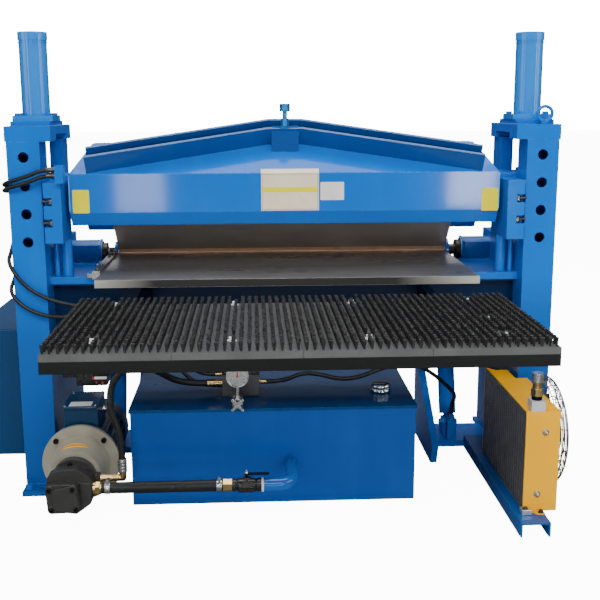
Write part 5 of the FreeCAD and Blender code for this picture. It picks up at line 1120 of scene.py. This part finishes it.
def dial():
    """Dial of the pressure gauge, with plain ticks."""
    centre = (-0.206, 0.541)
    outer = 0.037
    disc = Shape()
    disc.rings("y", centre, [(-0.583, 0.0395), (-0.5824, 0.0395), (-0.5815, 0.0405)], 48)
    disc.piece("gauge_dial", "dial_white")
    ticks = Shape()
    for step in range(31):
        angle = radians(225 - 9 * step)
        inner, half = (0.0315, 0.0007) if step % 5 == 0 else (0.034, 0.0004)
        along, up = cos(angle), sin(angle)
        corners = ((inner, -half), (outer, -half), (outer, half), (inner, half))
        outline = [(centre[0] + along * reach - up * side, centre[1] + up * reach + along * side)
                   for reach, side in corners]
        ticks.slab("y", outline, -0.5834, -0.5831)
    ticks.piece("gauge_ticks", "black_plastic", smooth=False)


def chrome_cap():
    """Breather cap: domed top, rolled rim and a knurled skirt over the filler neck."""
    centre = (0.38, -0.41)
    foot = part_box("filler_cap")[0].z
    cap = Shape()
    cap.rings("z", centre, [
        (0.0005, 0.0375), (0.0005, 0.04), (0.003, 0.0422), (0.007, 0.0428), (0.013, 0.042),
        (0.016, 0.0388), (0.019, 0.0388), (0.021, 0.0418), (0.026, 0.0428), (0.031, 0.042),
        (0.035, 0.0385), (0.0385, 0.031), (0.041, 0.02), (0.0424, 0.007)], 64, start=foot)
    for spot in around(centre, 0.0388, 48):
        cap.rings("z", spot, [(0.0155, 0.0011), (0.0195, 0.0011)], 6, start=foot)
    made = cap.piece("breather_cap", "chrome", "cap")
    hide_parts("filler_cap")


GUARD_WIRES = (
    (1.011, 0.216), (1.0165, 0.216), (1.022, 0.2156), (1.0275, 0.2144), (1.0325, 0.2126),
    (1.0375, 0.2098), (1.042, 0.2058), (1.046, 0.2005), (1.0495, 0.194), (1.0525, 0.186),
    (1.055, 0.1765), (1.0565, 0.166), (1.0572, 0.154), (1.0572, 0.132), (1.0572, 0.118),
    (1.0572, 0.09), (1.0572, 0.076))


def cooler_details():
    """Dome bolts, foot block and wires of the oil cooler and its fan."""
    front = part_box("cooler_frame")[0].y
    dome = [(0.002, 0.0075), (0.007, 0.0075), (0.0085, 0.0068), (0.0125, 0.0056), (0.015, 0.003),
            (0.0156, 0.0008)]
    bolts = Shape()
    for spot in ((0.95, 0.369), (0.928, 0.124)):
        bolts.rings("y", spot, [(0, 0.013), (0.0018, 0.013), (0.002, 0.012)], 28, 0, front, -1)
        bolts.rings("y", spot, dome, 18, 0, front, -1)
    bolts.piece("cooler_bolts", "zinc_steel")
    flat_piece("cooler_foot_block", "alu", "y", rounded((0.862, 0.902), (0.0565, 0.076), 0.003),
               front - 0.04, front - 0.0005, look=metal("foot_alu", (0.8, 0.8, 0.81), 0.34),
               bevel=0.0015)
    flat_piece("cooler_foot", "yellow_paint", "z",
               [(0.906, front - 0.0005), (0.906, front - 0.018), (0.922, front - 0.04),
                (0.9525, front - 0.04), (0.9525, front - 0.0005)], 0.0562, 0.0602)
    nuts = Shape()
    bolt(nuts, "z", 0.076, 0.0065, (0.878, front - 0.024), 0.008, washer=0.011)
    bolt(nuts, "z", 0.0602, 0.0095, (0.938, front - 0.024), 0.008, washer=0.0115)
    nuts.piece("cooler_foot_bolts", "dark_steel")
    wires = Shape()
    for place, radius in GUARD_WIRES:
        wires.sweep(circle("x", radius, place, GUARD_CENTRE, 72), 0.0014, 6, True)
    wires.piece("guard_wires", "black_paint", look=special["fan_guard"])


def cabinet_details():
    """Screws in the corners of the cabinet door."""
    low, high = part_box("cabinet_door")
    head = [(0, 0.0055), (0.0022, 0.005), (0.003, 0.0035)]
    screws = Shape()
    for x in (low.x + 0.03, high.x - 0.03):
        for z in (low.z + 0.03, high.z - 0.03):
            screws.rings("y", (x, z), head, 18, 0, low.y, -1)
    screws.piece("door_screws", "zinc_steel", "door")


def hose_ends():
    """Crimped sleeves where the thin hoses meet their blocks."""
    sleeves = Shape()
    ribs = crimped(-0.9385, 3, 0.0085, (0.006, 0.0068, 0.0078), 0.0108, 0.01)
    profile = [(-0.9405, 0.0084), *ribs, (-0.912, 0.0108), (-0.9115, 0.0115), (-0.9056, 0.0115)]
    for z in (1.31, 1.333):
        sleeves.rings("x", (-0.396, z), profile, 20)
    sleeves.piece("upper_hose_sleeves", "dark_steel", "beam")


studio()
place_camera()
dress_cad()
hoses()
bristles()
films()
welds()
shoe_nuts()
gauge_clamps()
power_pack()
pump()
ball_valve()
terminal_cover()
junction_box()
dial()
chrome_cap()
cooler_details()
cabinet_details()
hose_ends()
